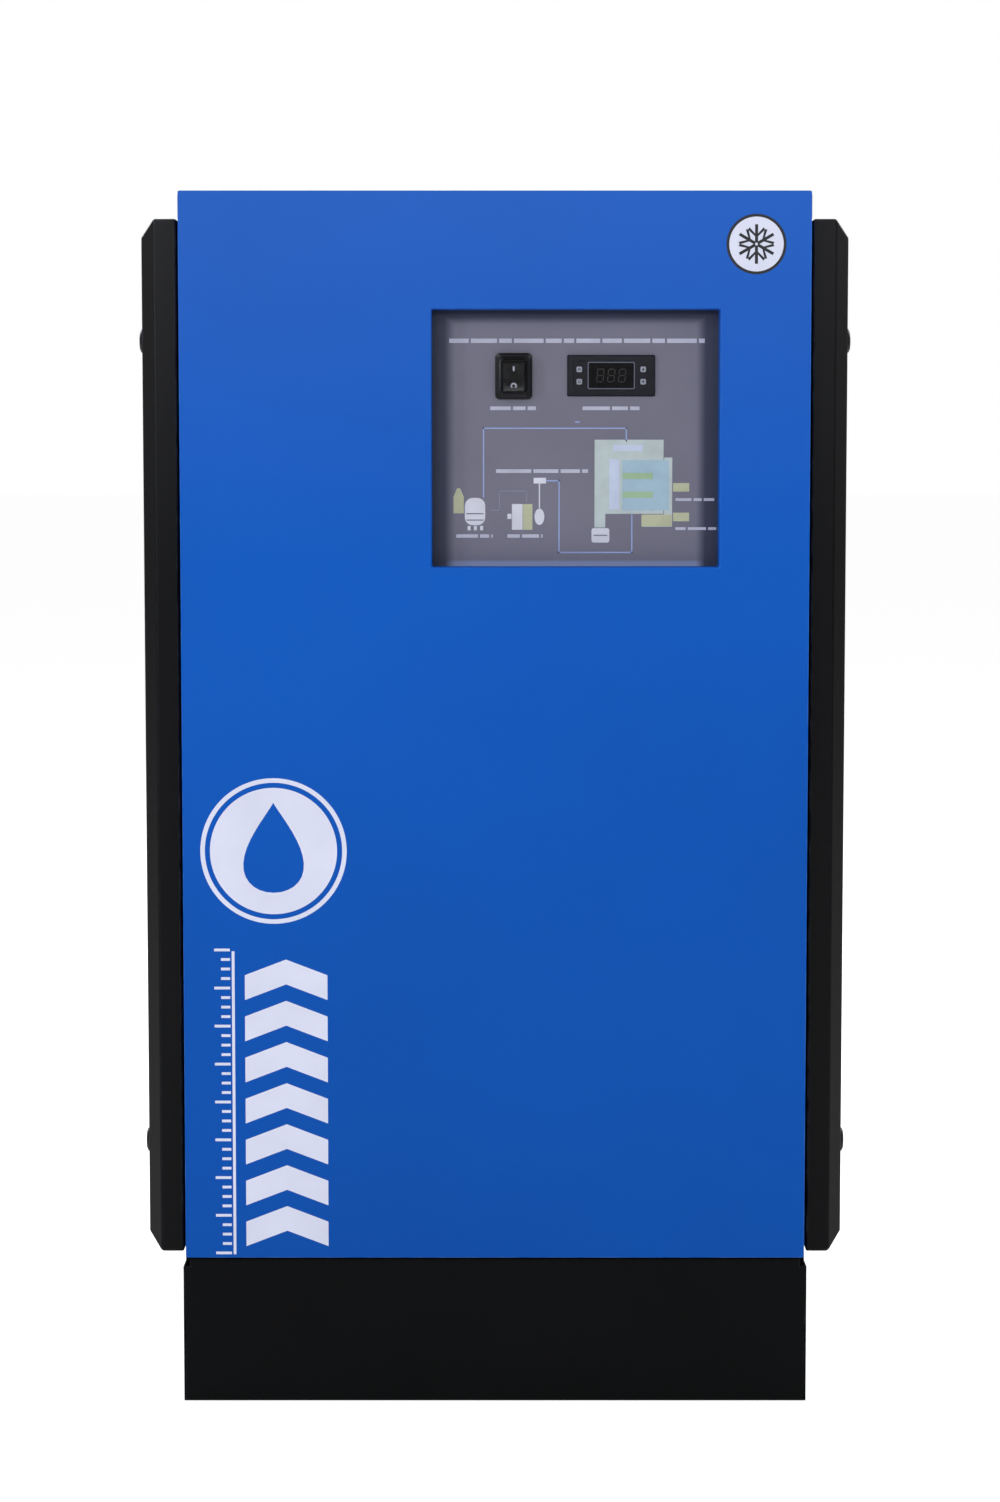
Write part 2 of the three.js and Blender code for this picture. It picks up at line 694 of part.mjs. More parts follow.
// Can, cap and one terminal tab.
function startCapacitor() {
  return join(
    rod("z", [0, 0, GAP], 22, 90, 20),
    rod("z", [0, 0, 89], 19, 8, 20),
    box([-8, -3, 96], [-5, 3, 108]),
  );
}

add(refrigeration, "start_capacitor", "aluminium", startCapacitor(), [165, -95, 0]);

// ---------------------------------------------------------------- condenser and fan

const condenser = group(0, 0, 0);

function condenserCore() {
  const { half_w, y0, y1, z0, z1 } = CONDENSER;
  const core = box([-half_w + 3, y0, z0 + 3], [half_w - 3, y1, z1 - 3]);
  const ends = [-1, 1].map((side) => {
    const x = side * (half_w - 1.5);
    return box([x - 1.5, y0 - 2, z0], [x + 1.5, y1, z1]);
  });
  const legs = [-1, 1].map((side) => {
    const x = side * (half_w - 15);
    return box([x - 15, y0, FLOOR_Z + GAP], [x + 15, y0 + 20, z0 + 5]);
  });
  return join(core, ...ends, ...legs);
}

add(condenser, "condenser_coil", "aluminium", condenserCore());

const SHROUD_Y0 = CONDENSER.y1 + 0.5;
const SHROUD_Y1 = 264;
const COLLAR_Y0 = 225;

function fanShroud() {
  const { half_w, z0, z1 } = CONDENSER;
  const shell = tray([-half_w, SHROUD_Y0, z0], [half_w, SHROUD_Y1, z1], 1.5, "front");
  const collar = rod("y", [FAN.x, COLLAR_Y0, FAN.z], FAN.opening_r + 2, REAR_Y - SHEET - GAP - COLLAR_Y0, 48);
  const opening = rod("y", [FAN.x, COLLAR_Y0 - 1, FAN.z], FAN.opening_r, REAR_Y - COLLAR_Y0 + 2, 48);
  const arms = [
    box([-half_w, SHROUD_Y0, FAN.z - 10], [half_w, SHROUD_Y0 + 3, FAN.z + 10]),
    box([FAN.x - 10, SHROUD_Y0, z0], [FAN.x + 10, SHROUD_Y0 + 3, z1]),
  ];
  return join(cut(join(shell, collar), opening), ...arms);
}

add(condenser, "fan_shroud", "zinc", fanShroud());

function fanMotor() {
  const y0 = SHROUD_Y0 + 3 + GAP;
  return join(
    rod("y", [FAN.x, y0, FAN.z], 42, FAN.y0 - 2 - y0, 28),
    rod("y", [FAN.x, FAN.y0 - 3, FAN.z], 5.7, 21, 12),
  );
}

add(condenser, "fan_motor", "shell", fanMotor());

const BLADE = { root_r: 38, root_half: 26, tip_half: 46, thick: 2.5, pitch: 30 };

// One blade, lying along +Z and pitched about it.
function fanBlade() {
  const shape = new THREE.Shape();
  shape.moveTo(-BLADE.root_half, BLADE.root_r);
  shape.lineTo(BLADE.root_half, BLADE.root_r);
  shape.quadraticCurveTo(BLADE.tip_half, 0.7 * FAN.r, BLADE.tip_half, 0.93 * FAN.r);
  shape.quadraticCurveTo(0, 1.05 * FAN.r, -BLADE.tip_half, 0.93 * FAN.r);
  shape.quadraticCurveTo(-BLADE.tip_half, 0.7 * FAN.r, -BLADE.root_half, BLADE.root_r);
  const depth = BLADE.thick;
  const flat = new THREE.ExtrudeGeometry(shape, { depth, bevelEnabled: false, curveSegments: 5 });
  return flat.translate(0, 0, -BLADE.thick / 2).rotateX(Math.PI / 2).rotateZ(degrees(BLADE.pitch));
}

// Hub and blades about the fan's axis, which runs along Y.
function fanRotor() {
  const middle = (FAN.y1 - FAN.y0) / 2;
  const turn = (2 * Math.PI) / FAN.blades;
  const blades = Array.from({ length: FAN.blades }, (_, i) => fanBlade().rotateY(i * turn));
  const hub = join(rod("y", [0, -middle, 0], FAN.hub_r, 2 * middle, 30), ...blades);
  return cut(hub, rod("y", [0, -middle - 1, 0], 6, 22, 12));
}

add(condenser, "fan_rotor", "black", fanRotor(), [FAN.x, (FAN.y0 + FAN.y1) / 2, FAN.z]);

// ---------------------------------------------------------------- heat exchanger and air pipes

const air = group(0, 0, 0);

function heatExchanger() {
  const { x0, x1, y0, y1, z0, z1 } = EXCHANGER;
  const body = box([x0, y0, z0], [x1, y1, z1]);
  const bands = [0.2, 0.5, 0.8].map((share) => {
    const z = z0 + share * (z1 - z0);
    return box([x0 - 3, y0 - 3, z - 12], [x1 + 3, y1 - 1, z + 12]);
  });
  const sump = rod("z", [DRAIN.x, DRAIN.y, z0 - 10], 18, 12, 20);
  return join(body, ...bands, sump);
}

add(air, "heat_exchanger", "foam", heatExchanger());

const LEG = { y0: -20, y1: 100, t: 2.5, flange: 35 };

// A Z-shaped leg, for the left: foot flange outwards, head flange inwards under the exchanger.
function exchangerLeg(x, inwards) {
  const z0 = FLOOR_Z + GAP;
  const z1 = EXCHANGER.z0 - GAP;
  const [head0, head1] = inwards > 0 ? [x, x + LEG.flange] : [x - LEG.flange, x];
  const [foot0, foot1] = inwards > 0 ? [x - LEG.flange, x] : [x, x + LEG.flange];
  const half = LEG.t / 2;
  return join(
    box([x - half, LEG.y0, z0], [x + half, LEG.y1, z1]),
    box([head0, LEG.y0, z1 - LEG.t], [head1, LEG.y1, z1]),
    box([foot0, LEG.y0, z0], [foot1, LEG.y1, z0 + LEG.t]),
  );
}

add(air, "exchanger_left_leg", "zinc", exchangerLeg(EXCHANGER.x0 + 4, 1));
add(air, "exchanger_right_leg", "zinc", exchangerLeg(EXCHANGER.x1 - 4, -1));

// A pipe from the heat exchanger to a hexagonal threaded socket outside the rear panel.
function airPipe() {
  const start = EXCHANGER.y1 + GAP;
  const hex_y = REAR_Y + 6;
  return cut(
    join(
      rod("y", [0, start, 0], AIR_PORT.pipe_r, hex_y - start + 1, 24),
      rod("y", [0, start, 0], AIR_PORT.hex_r - 2, 8, 24),
      rod("y", [0, hex_y, 0], AIR_PORT.hex_r, PORT_Y - hex_y, 6),
    ),
    rod("y", [0, start - 1, 0], AIR_PORT.bore_r, PORT_Y - start + 2, 24),
  );
}

const AIR_PIPES = ["air_outlet_pipe", "air_inlet_pipe"];
AIR_PIPES.forEach((name, i) => add(air, name, "brass", airPipe(), [AIR_PORT.x, 0, AIR_PORT.z[i]]));

// ---------------------------------------------------------------- refrigerant lines and valves

const lines = group(0, 0, 0);
const STUB_OFFSET = 30; // suction and discharge stubs beside the compressor's middle
const SUCTION_R = 8;
const SHELL_SIDE = COMPRESSOR.x + Math.sqrt((0.97 * COMPRESSOR.r) ** 2 - (STUB_OFFSET - SUCTION_R) ** 2) + 1;
const RISER = { x: 150, z: 500 };
const DRIER = { x: 215, y: 40, z0: 300, z1: 450, r: 25 };
const VALVE = { x: 150, y: 40, z: 645 };
const COIL_SIDE = CONDENSER.half_w + 0.5;
const COIL_BEND_X = 238;
const COIL_IN_Z = 530;
const COIL_OUT_Z = 190;
const DISCHARGE_Z = 380;
const SUCTION = { x: 20, high_z: 740, low_z: 320 };
const INJECTION_Z = 560;
const COIL_Y = (CONDENSER.y0 + CONDENSER.y1) / 2;

const discharge_y = COMPRESSOR.y - STUB_OFFSET;
const suction_y = COMPRESSOR.y + STUB_OFFSET;

add(
  lines,
  "discharge_line",
  "copper",
  pipe(
    [
      [SHELL_SIDE, discharge_y, DISCHARGE_Z],
      [RISER.x, discharge_y, DISCHARGE_Z],
      [RISER.x, discharge_y, RISER.z],
      [RISER.x, 80, RISER.z],
      [COIL_BEND_X, 80, RISER.z],
      [COIL_BEND_X, COIL_Y, COIL_IN_Z],
      [COIL_SIDE, COIL_Y, COIL_IN_Z],
    ],
    PIPE_R,
    22,
  ),
);
add(
  lines,
  "suction_line",
  "copper",
  pipe(
    [
      [SUCTION.x, EXCHANGER.y0 - 0.5, SUCTION.high_z],
      [SUCTION.x, suction_y, SUCTION.high_z],
      [SUCTION.x, suction_y, SUCTION.low_z],
      [SHELL_SIDE, suction_y, SUCTION.low_z],
    ],
    SUCTION_R,
    22,
  ),
);
add(
  lines,
  "liquid_line",
  "copper",
  pipe(
    [
      [COIL_SIDE, COIL_Y, COIL_OUT_Z],
      [COIL_BEND_X, COIL_Y, COIL_OUT_Z],
      [COIL_BEND_X, DRIER.y, COIL_OUT_Z],
      [DRIER.x, DRIER.y, COIL_OUT_Z + 25],
      [DRIER.x, DRIER.y, DRIER.z0 - 0.5],
    ],
    5,
    10,
  ),
);
add(
  lines,
  "injection_line",
  "copper",
  pipe(
    [
      [DRIER.x, DRIER.y, DRIER.z1 + 0.5],
      [DRIER.x, DRIER.y, INJECTION_Z],
      [VALVE.x, VALVE.y, INJECTION_Z],
      [VALVE.x, VALVE.y, VALVE.z - 26],
    ],
    4,
    16,
  ),
);

function filterDrier() {
  const { z0, z1, r } = DRIER;
  const profile = [
    [0, z0],
    [7, z0],
    [9, z0 + 10],
    [r, z0 + 24],
    [r, z1 - 24],
    [9, z1 - 10],
    [7, z1],
    [0, z1],
  ];
  return turned(profile, 20);
}

add(lines, "filter_drier", "copper", filterDrier(), [DRIER.x, DRIER.y, 0]);

// Body, stub to the heat exchanger and the flat round power head of the expansion valve.
function expansionValve() {
  return join(
    rod("z", [0, 0, -25], 13, 50, 16),
    rod("z", [0, 0, 24], 24, 10, 20),
    rod("x", [EXCHANGER.x1 - VALVE.x + 0.5, 0, 0], 5, VALVE.x - EXCHANGER.x1, 10),
  );
}

add(lines, "expansion_valve", "brass", expansionValve(), [VALVE.x, VALVE.y, VALVE.z]);

const BYPASS_Y = -60;
const RISER_TOP_Z = RISER.z + PIPE_R + 0.5; // what stands on the discharge line starts here

// The hot-gas bypass valve stands on the discharge line; its own tube runs to the heat exchanger.
function bypassValve() {
  return join(
    rod("z", [RISER.x, BYPASS_Y, RISER_TOP_Z], 7, 20, 12),
    rod("z", [RISER.x, BYPASS_Y, RISER_TOP_Z + 14], 16, 40, 18),
    rod("z", [RISER.x, BYPASS_Y, RISER_TOP_Z + 53], 21, 22, 18),
    rod("z", [RISER.x, BYPASS_Y, RISER_TOP_Z + 74], 8, 10, 6),
    pipe(
      [
        [RISER.x - 8, BYPASS_Y, 545],
        [115, BYPASS_Y, 545],
        [115, BYPASS_Y, 680],
        [115, 0, 680],
        [EXCHANGER.x1 + 0.5, 0, 680],
      ],
      4,
      14,
    ),
  );
}

add(lines, "hot_gas_bypass_valve", "brass", bypassValve());

function pressureSwitch() {
  return join(
    rod("z", [0, 0, RISER_TOP_Z], 5, 14, 10),
    rod("z", [0, 0, RISER_TOP_Z + 10], 12, 30, 16),
    rod("z", [0, 0, RISER_TOP_Z + 39], 9, 12, 6),
  );
}

add(lines, "pressure_switch", "brass", pressureSwitch(), [RISER.x, 15, 0]);

// ---------------------------------------------------------------- condensate drain

const drain = group(DRAIN.x, DRAIN.y, 0);
const STEM_Z = 592;
const VALVE_HIGH_Z = EXCHANGER.z0 - 10 - GAP;
const VALVE_LOW_Z = 560;

function ballValve() {
  return join(
    rod("z", [0, 0, VALVE_LOW_Z], 11, VALVE_HIGH_Z - VALVE_LOW_Z, 6),
    rod("y", [0, -14, STEM_Z], 9, 28, 12),
    rod("y", [0, -22, STEM_Z], 4, 10, 10),
  );
}

// The lever on the ball valve's stem, pointing down in line with the flow.
function valveLever() {
  const y0 = -21.5;
  return cut(
    join(
      rod("y", [0, y0, 0], 10, 4, 14),
      box([-6, y0, -62], [6, y0 + 3, 0]),
      box([-7, y0 - 12, -62], [7, y0 + 3, -58]),
    ),
    rod("y", [0, y0 - 1, 0], 4.4, 6, 12),
  );
}

add(drain, "drain_ball_valve", "brass", ballValve());
add(drain, "drain_valve_lever", "zinc", valveLever(), [0, 0, STEM_Z]);

const SOLENOID_Z = 480;
const HOSE_Z = SOLENOID_Z + 18;
const HOSE_FRONT_Y = -38;
const HOSE_REAR_Y = 215;
const OUTLET_Y = 262.5; // inner end of the drain outlet

function drainSolenoid() {
  return join(
    box([-20, -26, SOLENOID_Z], [20, 20, SOLENOID_Z + 36]),
    rod("z", [0, 0, SOLENOID_Z + 35], 9, VALVE_LOW_Z - GAP - SOLENOID_Z - 35, 12),
    rod("x", [-48, 0, SOLENOID_Z + 18], 10, 30, 14),
    box([-72, -20, SOLENOID_Z - 4], [-44, 20, SOLENOID_Z + 40]),
  );
}

add(drain, "drain_solenoid_valve", "brass", drainSolenoid());
add(
  lines,
  "drain_hose",
  "hose",
  pipe(
    [
      [DRAIN.x, DRAIN.y - 26.5, HOSE_Z],
      [DRAIN.x, HOSE_FRONT_Y, HOSE_Z],
      [HOSE_X, HOSE_FRONT_Y, HOSE_Z],
      [HOSE_X, HOSE_REAR_Y, HOSE_Z],
      [HOSE_X, HOSE_REAR_Y, DRAIN_OUT_Z],
      [HOSE_X, OUTLET_Y - 0.5, DRAIN_OUT_Z],
    ],
    4,
    20,
    8,
    12,
  ),
);

function drainOutlet() {
  const hex_y = REAR_Y + GAP;
  return cut(
    join(
      rod("y", [0, OUTLET_Y, 0], 7, 60, 14),
      rod("y", [0, hex_y, 0], 11, 8, 6),
      rod("y", [0, OUTLET_Y + 55.5, 0], 8, 5, 14, 6),
    ),
    rod("y", [0, OUTLET_Y - 0.5, 0], 3.5, 70, 10),
  );
}

add(lines, "drain_outlet", "brass", drainOutlet(), [HOSE_X, 0, DRAIN_OUT_Z]);

// ---------------------------------------------------------------- power inlet

function cableGland() {
  const y0 = REAR_Y + GAP;
  return cut(
    join(
      rod("y", [0, REAR_Y - SHEET - 12, 0], GLAND.r, 20, 20),
      rod("y", [0, y0, 0], 17, 7, 6),
      rod("y", [0, y0 + 6, 0], 15.5, 16, 20),
      rod("y", [0, y0 + 21, 0], 15.5, 7, 20, 9.5),
    ),
    rod("y", [0, REAR_Y - 20, 0], 6.5, 60, 16),
  );
}

add(lines, "cable_gland", "plastic", cableGland(), [GLAND.x, 0, GLAND.z]);

export default dryer;
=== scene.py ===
"""Refrigerated compressed-air dryer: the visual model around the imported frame. Metres, +Z up, front at -Y."""

import json
import math

import bmesh
import bpy
from mathutils import Matrix, Vector


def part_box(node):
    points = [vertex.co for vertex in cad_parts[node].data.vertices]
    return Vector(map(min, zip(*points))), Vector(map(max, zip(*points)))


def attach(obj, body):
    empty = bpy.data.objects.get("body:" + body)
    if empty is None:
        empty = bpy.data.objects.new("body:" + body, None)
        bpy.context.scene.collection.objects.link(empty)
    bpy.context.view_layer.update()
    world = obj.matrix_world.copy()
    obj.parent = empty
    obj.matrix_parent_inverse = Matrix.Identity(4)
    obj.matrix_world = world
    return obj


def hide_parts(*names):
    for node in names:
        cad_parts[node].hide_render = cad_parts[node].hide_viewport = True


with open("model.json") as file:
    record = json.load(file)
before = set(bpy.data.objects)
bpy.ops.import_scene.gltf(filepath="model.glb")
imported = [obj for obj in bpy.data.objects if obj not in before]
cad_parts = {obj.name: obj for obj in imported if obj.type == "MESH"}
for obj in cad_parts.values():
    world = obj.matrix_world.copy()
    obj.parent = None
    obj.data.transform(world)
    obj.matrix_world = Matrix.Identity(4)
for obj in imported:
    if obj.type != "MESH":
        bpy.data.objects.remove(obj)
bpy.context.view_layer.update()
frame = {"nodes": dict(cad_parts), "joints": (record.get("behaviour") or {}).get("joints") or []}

MM = 0.001
SHEET = 1.5 * MM
BEND = 2.2 * MM
SHARP_ANGLE = 32  # degrees: an edge at least this sharp is shaded as an edge
WELD = 1e-6  # points closer than this are one point
CAD_WELD = 2e-5  # the same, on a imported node
BODY = "cabinet"
WINDOW_LOW = (-55 * MM, 746 * MM)
WINDOW_HIGH = (196 * MM, 970 * MM)
JOINTS = {j["name"]: j for j in frame["joints"]}


# ---- materials


def linear(red, green, blue):
    """An sRGB colour, 0 to 255, as linear RGBA."""
    parts = [c / 255 for c in (red, green, blue)]
    return tuple(c / 12.92 if c <= 0.04045 else ((c + 0.055) / 1.055) ** 2.4 for c in parts) + (1.0,)


def mixed(color, other, share):
    return tuple(a + (b - a) * share for a, b in zip(color, other))


MIX_A, MIX_B, MIX_RESULT = 6, 7, 2  # the colour sockets of a Mix node
CONTRAST = (0.3, 0.7)  # the middle of a noise, spread over the whole range
EDGE_COSINES = (0.995, 0.88)  # from a flat face to a full edge
GLOSS_SPREAD = 0.06
RELIEF_DEPTH = 0.4 * MM
TOP_PAINTED_LIGHT_HEIGHTS = (0.75, 1.06)  # metres: the painted light near the top fades in over these heights
# metres: the painted shade towards the foot fades in over these heights
FOOT_PAINTED_SHADE_HEIGHTS = (0.8, 0.15)


class Nodes:
    """A short way to write a material's node tree."""

    def __init__(self, material):
        material.use_nodes = True
        self.material, self.tree = material, material.node_tree
        self.shader = self.tree.nodes["Principled BSDF"]
        self.place = self.add("TexCoord").outputs["Object"]

    def add(self, kind, **values):
        node = self.tree.nodes.new("ShaderNode" + kind)
        for key, value in values.items():
            setattr(node, key, value)
        return node

    def link(self, source, target):
        self.tree.links.new(source, target)

    def noise(self, scale, detail=3.0, stretch=(1, 1, 1)):
        place = self.add("Mapping")
        place.inputs["Scale"].default_value = stretch
        self.link(self.place, place.inputs["Vector"])
        noise = self.add("TexNoise")
        noise.inputs["Scale"].default_value = scale
        noise.inputs["Detail"].default_value = detail
        self.link(place.outputs["Vector"], noise.inputs["Vector"])
        return noise.outputs["Fac"]

    def ramp(self, source, low, high, to_low=0.0, to_high=1.0):
        node = self.add("MapRange")
        for key, value in zip(("From Min", "From Max", "To Min", "To Max"), (low, high, to_low, to_high)):
            node.inputs[key].default_value = value
        self.link(source, node.inputs["Value"])
        return node.outputs["Result"]

    def mix(self, share, color_a, color_b):
        node = self.add("Mix", data_type="RGBA")
        self.link(share, node.inputs["Factor"])
        for socket, color in zip((node.inputs[MIX_A], node.inputs[MIX_B]), (color_a, color_b)):
            if isinstance(color, bpy.types.NodeSocket):
                self.link(color, socket)
            else:
                socket.default_value = color
        return node.outputs[MIX_RESULT]

    def edges(self, radius):
        """About 1 along convex edges and 0 on flat faces."""
        bevel = self.add("Bevel", samples=4)
        bevel.inputs["Radius"].default_value = radius
        flat = self.add("NewGeometry").outputs["Normal"]
        dot = self.add("VectorMath", operation="DOT_PRODUCT")
        self.link(bevel.outputs["Normal"], dot.inputs[0])
        self.link(flat, dot.inputs[1])
        return self.ramp(dot.outputs["Value"], *EDGE_COSINES)

    def bump(self, height, strength, distance):
        node = self.add("Bump")
        node.inputs["Strength"].default_value = strength
        node.inputs["Distance"].default_value = distance
        self.link(height, node.inputs["Height"])
        self.link(node.outputs["Normal"], self.shader.inputs["Normal"])


def finish_material(
    name, color, rough, metal=0.0, vary=0.1, patch=5.0, grain=900.0, relief=0.1, stretch=(1, 1, 1),
    specular=0.4, edge_wear_and_highlight=None, edge_wear_and_highlight_radius=1.2 * MM, coat=0.0, top_painted_light=0.0, foot_painted_shade=0.0,
):
    """A surface with patchy colour, a fine grain in its relief and gloss, and paler edges, partly wear and
    partly a painted edge highlight, where their colour is set.
    The painted light makes it paler near the top of the cabinet and the painted shade makes it darker towards
    the foot, both given as shares."""
    n = Nodes(bpy.data.materials.new(name))
    dark = mixed(color, (0, 0, 0, 1), vary)
    light = tuple(min(1.0, c * (1 + vary)) for c in color)
    tone = n.mix(n.ramp(n.noise(patch, 4.0, stretch), *CONTRAST), dark, light)
    if top_painted_light or foot_painted_shade:
        height = n.add("SeparateXYZ")
        n.link(n.place, height.inputs["Vector"])
        # Painted light: the colour turns paler near the top of the cabinet, by height.
        high = n.ramp(height.outputs["Z"], *TOP_PAINTED_LIGHT_HEIGHTS, 0.0, top_painted_light)
        tone = n.mix(high, tone, mixed(color, (1, 1, 1, 1), 0.5))
        # Painted shade: the colour turns darker towards the foot, by height.
        tone = n.mix(n.ramp(height.outputs["Z"], *FOOT_PAINTED_SHADE_HEIGHTS, 0.0, foot_painted_shade), tone, (0, 0, 0, 1))
    # Paler edges, broken up by noise: partly edge wear, partly a painted edge highlight.
    if edge_wear_and_highlight:
        edge_wear_and_highlight_share = n.add("Math", operation="MULTIPLY")
        n.link(n.edges(edge_wear_and_highlight_radius), edge_wear_and_highlight_share.inputs[0])
        n.link(n.ramp(n.noise(70.0, 5.0), 0.35, 0.75), edge_wear_and_highlight_share.inputs[1])
        tone = n.mix(edge_wear_and_highlight_share.outputs["Value"], tone, edge_wear_and_highlight)
    n.link(tone, n.shader.inputs["Base Color"])
    fine = n.noise(grain, 2.0, stretch)
    n.link(n.ramp(fine, 0.25, 0.75, rough - GLOSS_SPREAD, rough + GLOSS_SPREAD), n.shader.inputs["Roughness"])
    n.bump(fine, relief, RELIEF_DEPTH)
    n.shader.inputs["Metallic"].default_value = metal
    n.shader.inputs["Specular IOR Level"].default_value = specular
    n.shader.inputs["Coat Weight"].default_value = coat
    return n.material


def see_through(name, color, rough, alpha):
    """A clear plastic, slightly cloudy, with uneven gloss."""
    n = Nodes(bpy.data.materials.new(name))
    cloud = n.ramp(n.noise(60.0, 3.0), *CONTRAST)
    n.link(n.mix(cloud, color, mixed(color, (1, 1, 1, 1), 0.08)), n.shader.inputs["Base Color"])
    n.link(n.ramp(n.noise(250.0), *CONTRAST, rough, rough + 0.1), n.shader.inputs["Roughness"])
    n.shader.inputs["Alpha"].default_value = alpha
    return n.material


# Blue and black coats: painted light near the top, painted shade towards the foot, and paler edges that are
# partly wear and partly a painted highlight.
BLUE = finish_material(
    "blue_powder_coat", linear(4, 86, 184), 0.42, vary=0.05, patch=3.0, grain=1500.0, relief=0.16,
    specular=0.1, edge_wear_and_highlight=linear(96, 150, 222), top_painted_light=0.03, foot_painted_shade=0.2,
)
BLACK = finish_material(
    "black_powder_coat", linear(7, 7, 10), 0.33, vary=0.12, patch=9.0, grain=1400.0, relief=0.2,
    specular=0.13, edge_wear_and_highlight=linear(110, 114, 128), edge_wear_and_highlight_radius=2.2 * MM, top_painted_light=0.014, foot_painted_shade=0.5,
)
# Its paler edges are partly wear, partly a painted edge highlight.
PLINTH_BLACK = finish_material(
    "black_plinth_coat", linear(9, 10, 11), 0.6, vary=0.12, patch=9.0, grain=1200.0, relief=0.2,
    specular=0.07, edge_wear_and_highlight=linear(60, 62, 66),
)


def plate_material():
    """Satin grey print with a painted shadow of the window's edge in a band along its sides and top, and a
    painted highlight along the window's bottom ledge.
    """
    material = finish_material(
        "grey_printed_plate", linear(104, 103, 120), 0.45, vary=0.08, patch=9.0, grain=1800.0, relief=0.04
    )
    n = Nodes(material)
    base = n.shader.inputs["Base Color"].links[0].from_socket
    split = n.add("SeparateXYZ")
    n.link(n.place, split.inputs["Vector"])
    # Painted shadow of the window's edge: darker bands along the left and right sides and the top of the
    # window.
    painted_window_shade = n.ramp(split.outputs["X"], WINDOW_LOW[0] + 11 * MM, WINDOW_LOW[0] + 20 * MM, 1.0, 0.0)
    right = n.ramp(split.outputs["X"], WINDOW_HIGH[0] - 19 * MM, WINDOW_HIGH[0] - 11 * MM)
    top = n.ramp(split.outputs["Z"], WINDOW_HIGH[1] - 12 * MM, WINDOW_HIGH[1] - 6 * MM)
    for share in (right, top):
        biggest = n.add("Math", operation="MAXIMUM")
        n.link(painted_window_shade, biggest.inputs[0])
        n.link(share, biggest.inputs[1])
        painted_window_shade = biggest.outputs["Value"]
    # Painted highlight: a pale line just above the window's bottom edge.
    painted_ledge_highlight = n.ramp(split.outputs["Z"], WINDOW_LOW[1] + 3 * MM, WINDOW_LOW[1] + 6 * MM, 1.0, 0.0)
    # The painted shadow is dark blue-grey; the painted highlight is pale blue-grey.
    painted_shade_and_highlight = n.mix(painted_window_shade, n.mix(painted_ledge_highlight, base, linear(124, 136, 168)), linear(34, 42, 66))
    n.link(painted_shade_and_highlight, n.shader.inputs["Base Color"])
    return material


PLATE = plate_material()
ZINC = finish_material(
    "zinc_plated_steel", linear(176, 180, 182), 0.36, 1.0, 0.25, 14.0, 500.0, 0.08, (1, 1, 4)
)
STEEL = finish_material("stainless_steel", linear(196, 198, 200), 0.24, 1.0, 0.12, 30.0, 800.0, 0.05)
# Its paler edges are partly wear, partly a painted edge highlight.
MOULDED = finish_material(
    "black_moulded_plastic", linear(19, 20, 28), 0.5, vary=0.2, patch=40.0, grain=2500.0, relief=0.12,
    specular=0.2, edge_wear_and_highlight=linear(80, 84, 94), edge_wear_and_highlight_radius=0.6 * MM,
)
GLOSS = finish_material(
    "gloss_black_plastic", linear(7, 7, 9), 0.16, vary=0.2, patch=30.0, relief=0.02, specular=0.2
)
CAP_RIM = finish_material(
    "black_cap_rubber", linear(9, 9, 12), 0.3, vary=0.2, patch=60.0, relief=0.05, specular=0.22
)
LATCH_BLACK = finish_material(
    "black_oxide_steel", linear(17, 18, 21), 0.38, vary=0.2, patch=60.0, grain=1200.0, specular=0.3
)
KEYS = finish_material("grey_key_plastic", linear(136, 140, 154), 0.5, vary=0.1, patch=200.0, relief=0.1)
CAP = see_through("smoked_splash_cap", linear(16, 17, 20), 0.1, 0.1)
WHITE = finish_material("white_vinyl", linear(214, 217, 236), 0.4, vary=0.04, patch=20.0, relief=0.03)
BLACK_INK = finish_material("black_vinyl", linear(16, 18, 26), 0.4, vary=0.1, patch=20.0, relief=0.03)
RUBBER = finish_material(
    "black_rubber", linear(26, 26, 27), 0.8, vary=0.3, patch=40.0, grain=700.0, relief=0.3
)
# Its paler edges are partly wear, partly a painted edge highlight.
COPPER = finish_material(
    "copper_tube", linear(190, 116, 82), 0.3, 1.0, 0.35, 25.0, 400.0, 0.06, edge_wear_and_highlight=linear(222, 160, 128)
)
BRASS = finish_material("machined_brass", linear(196, 160, 88), 0.3, 1.0, 0.25, 40.0, 900.0, 0.06)
FINS = finish_material("aluminium_fins", linear(188, 192, 195), 0.42, 1.0, 0.2, 20.0, 700.0, 0.1)
FOAM = finish_material("insulation_foam", linear(44, 45, 48), 0.92, 0, 0.3, 30.0, 350.0, 0.8, specular=0.1)
ENAMEL = finish_material(
    "black_enamel", linear(18, 19, 22), 0.25, vary=0.2, patch=12.0, grain=500.0, relief=0.05, coat=0.4
)
HOSE = finish_material("hose_plastic", linear(214, 218, 212), 0.35, vary=0.08, patch=30.0, relief=0.05)
FRAME_GREY = finish_material("grey_frame_line", linear(84, 88, 104), 0.5, vary=0.1, patch=60.0, relief=0.05)
SEGMENT = finish_material("unlit_segments", linear(17, 14, 16), 0.3, vary=0.1, patch=60.0, relief=0.02)


INK_COLORS = {
    "white": (198, 199, 212),
    "caption": (172, 173, 192),
    "line": (140, 156, 204),
    "dim": (124, 128, 150),
    "pale": (172, 184, 186),
    "aqua": (150, 176, 194),
    "green": (146, 176, 142),
    "sand": (172, 175, 146),
    "mist": (180, 190, 214),
}
INK = {
    name: finish_material("ink_" + name, linear(*color), 0.5, vary=0.08, patch=60.0, relief=0.03)
    for name, color in INK_COLORS.items()
}
INK["plate"] = PLATE


# ---- mesh tools


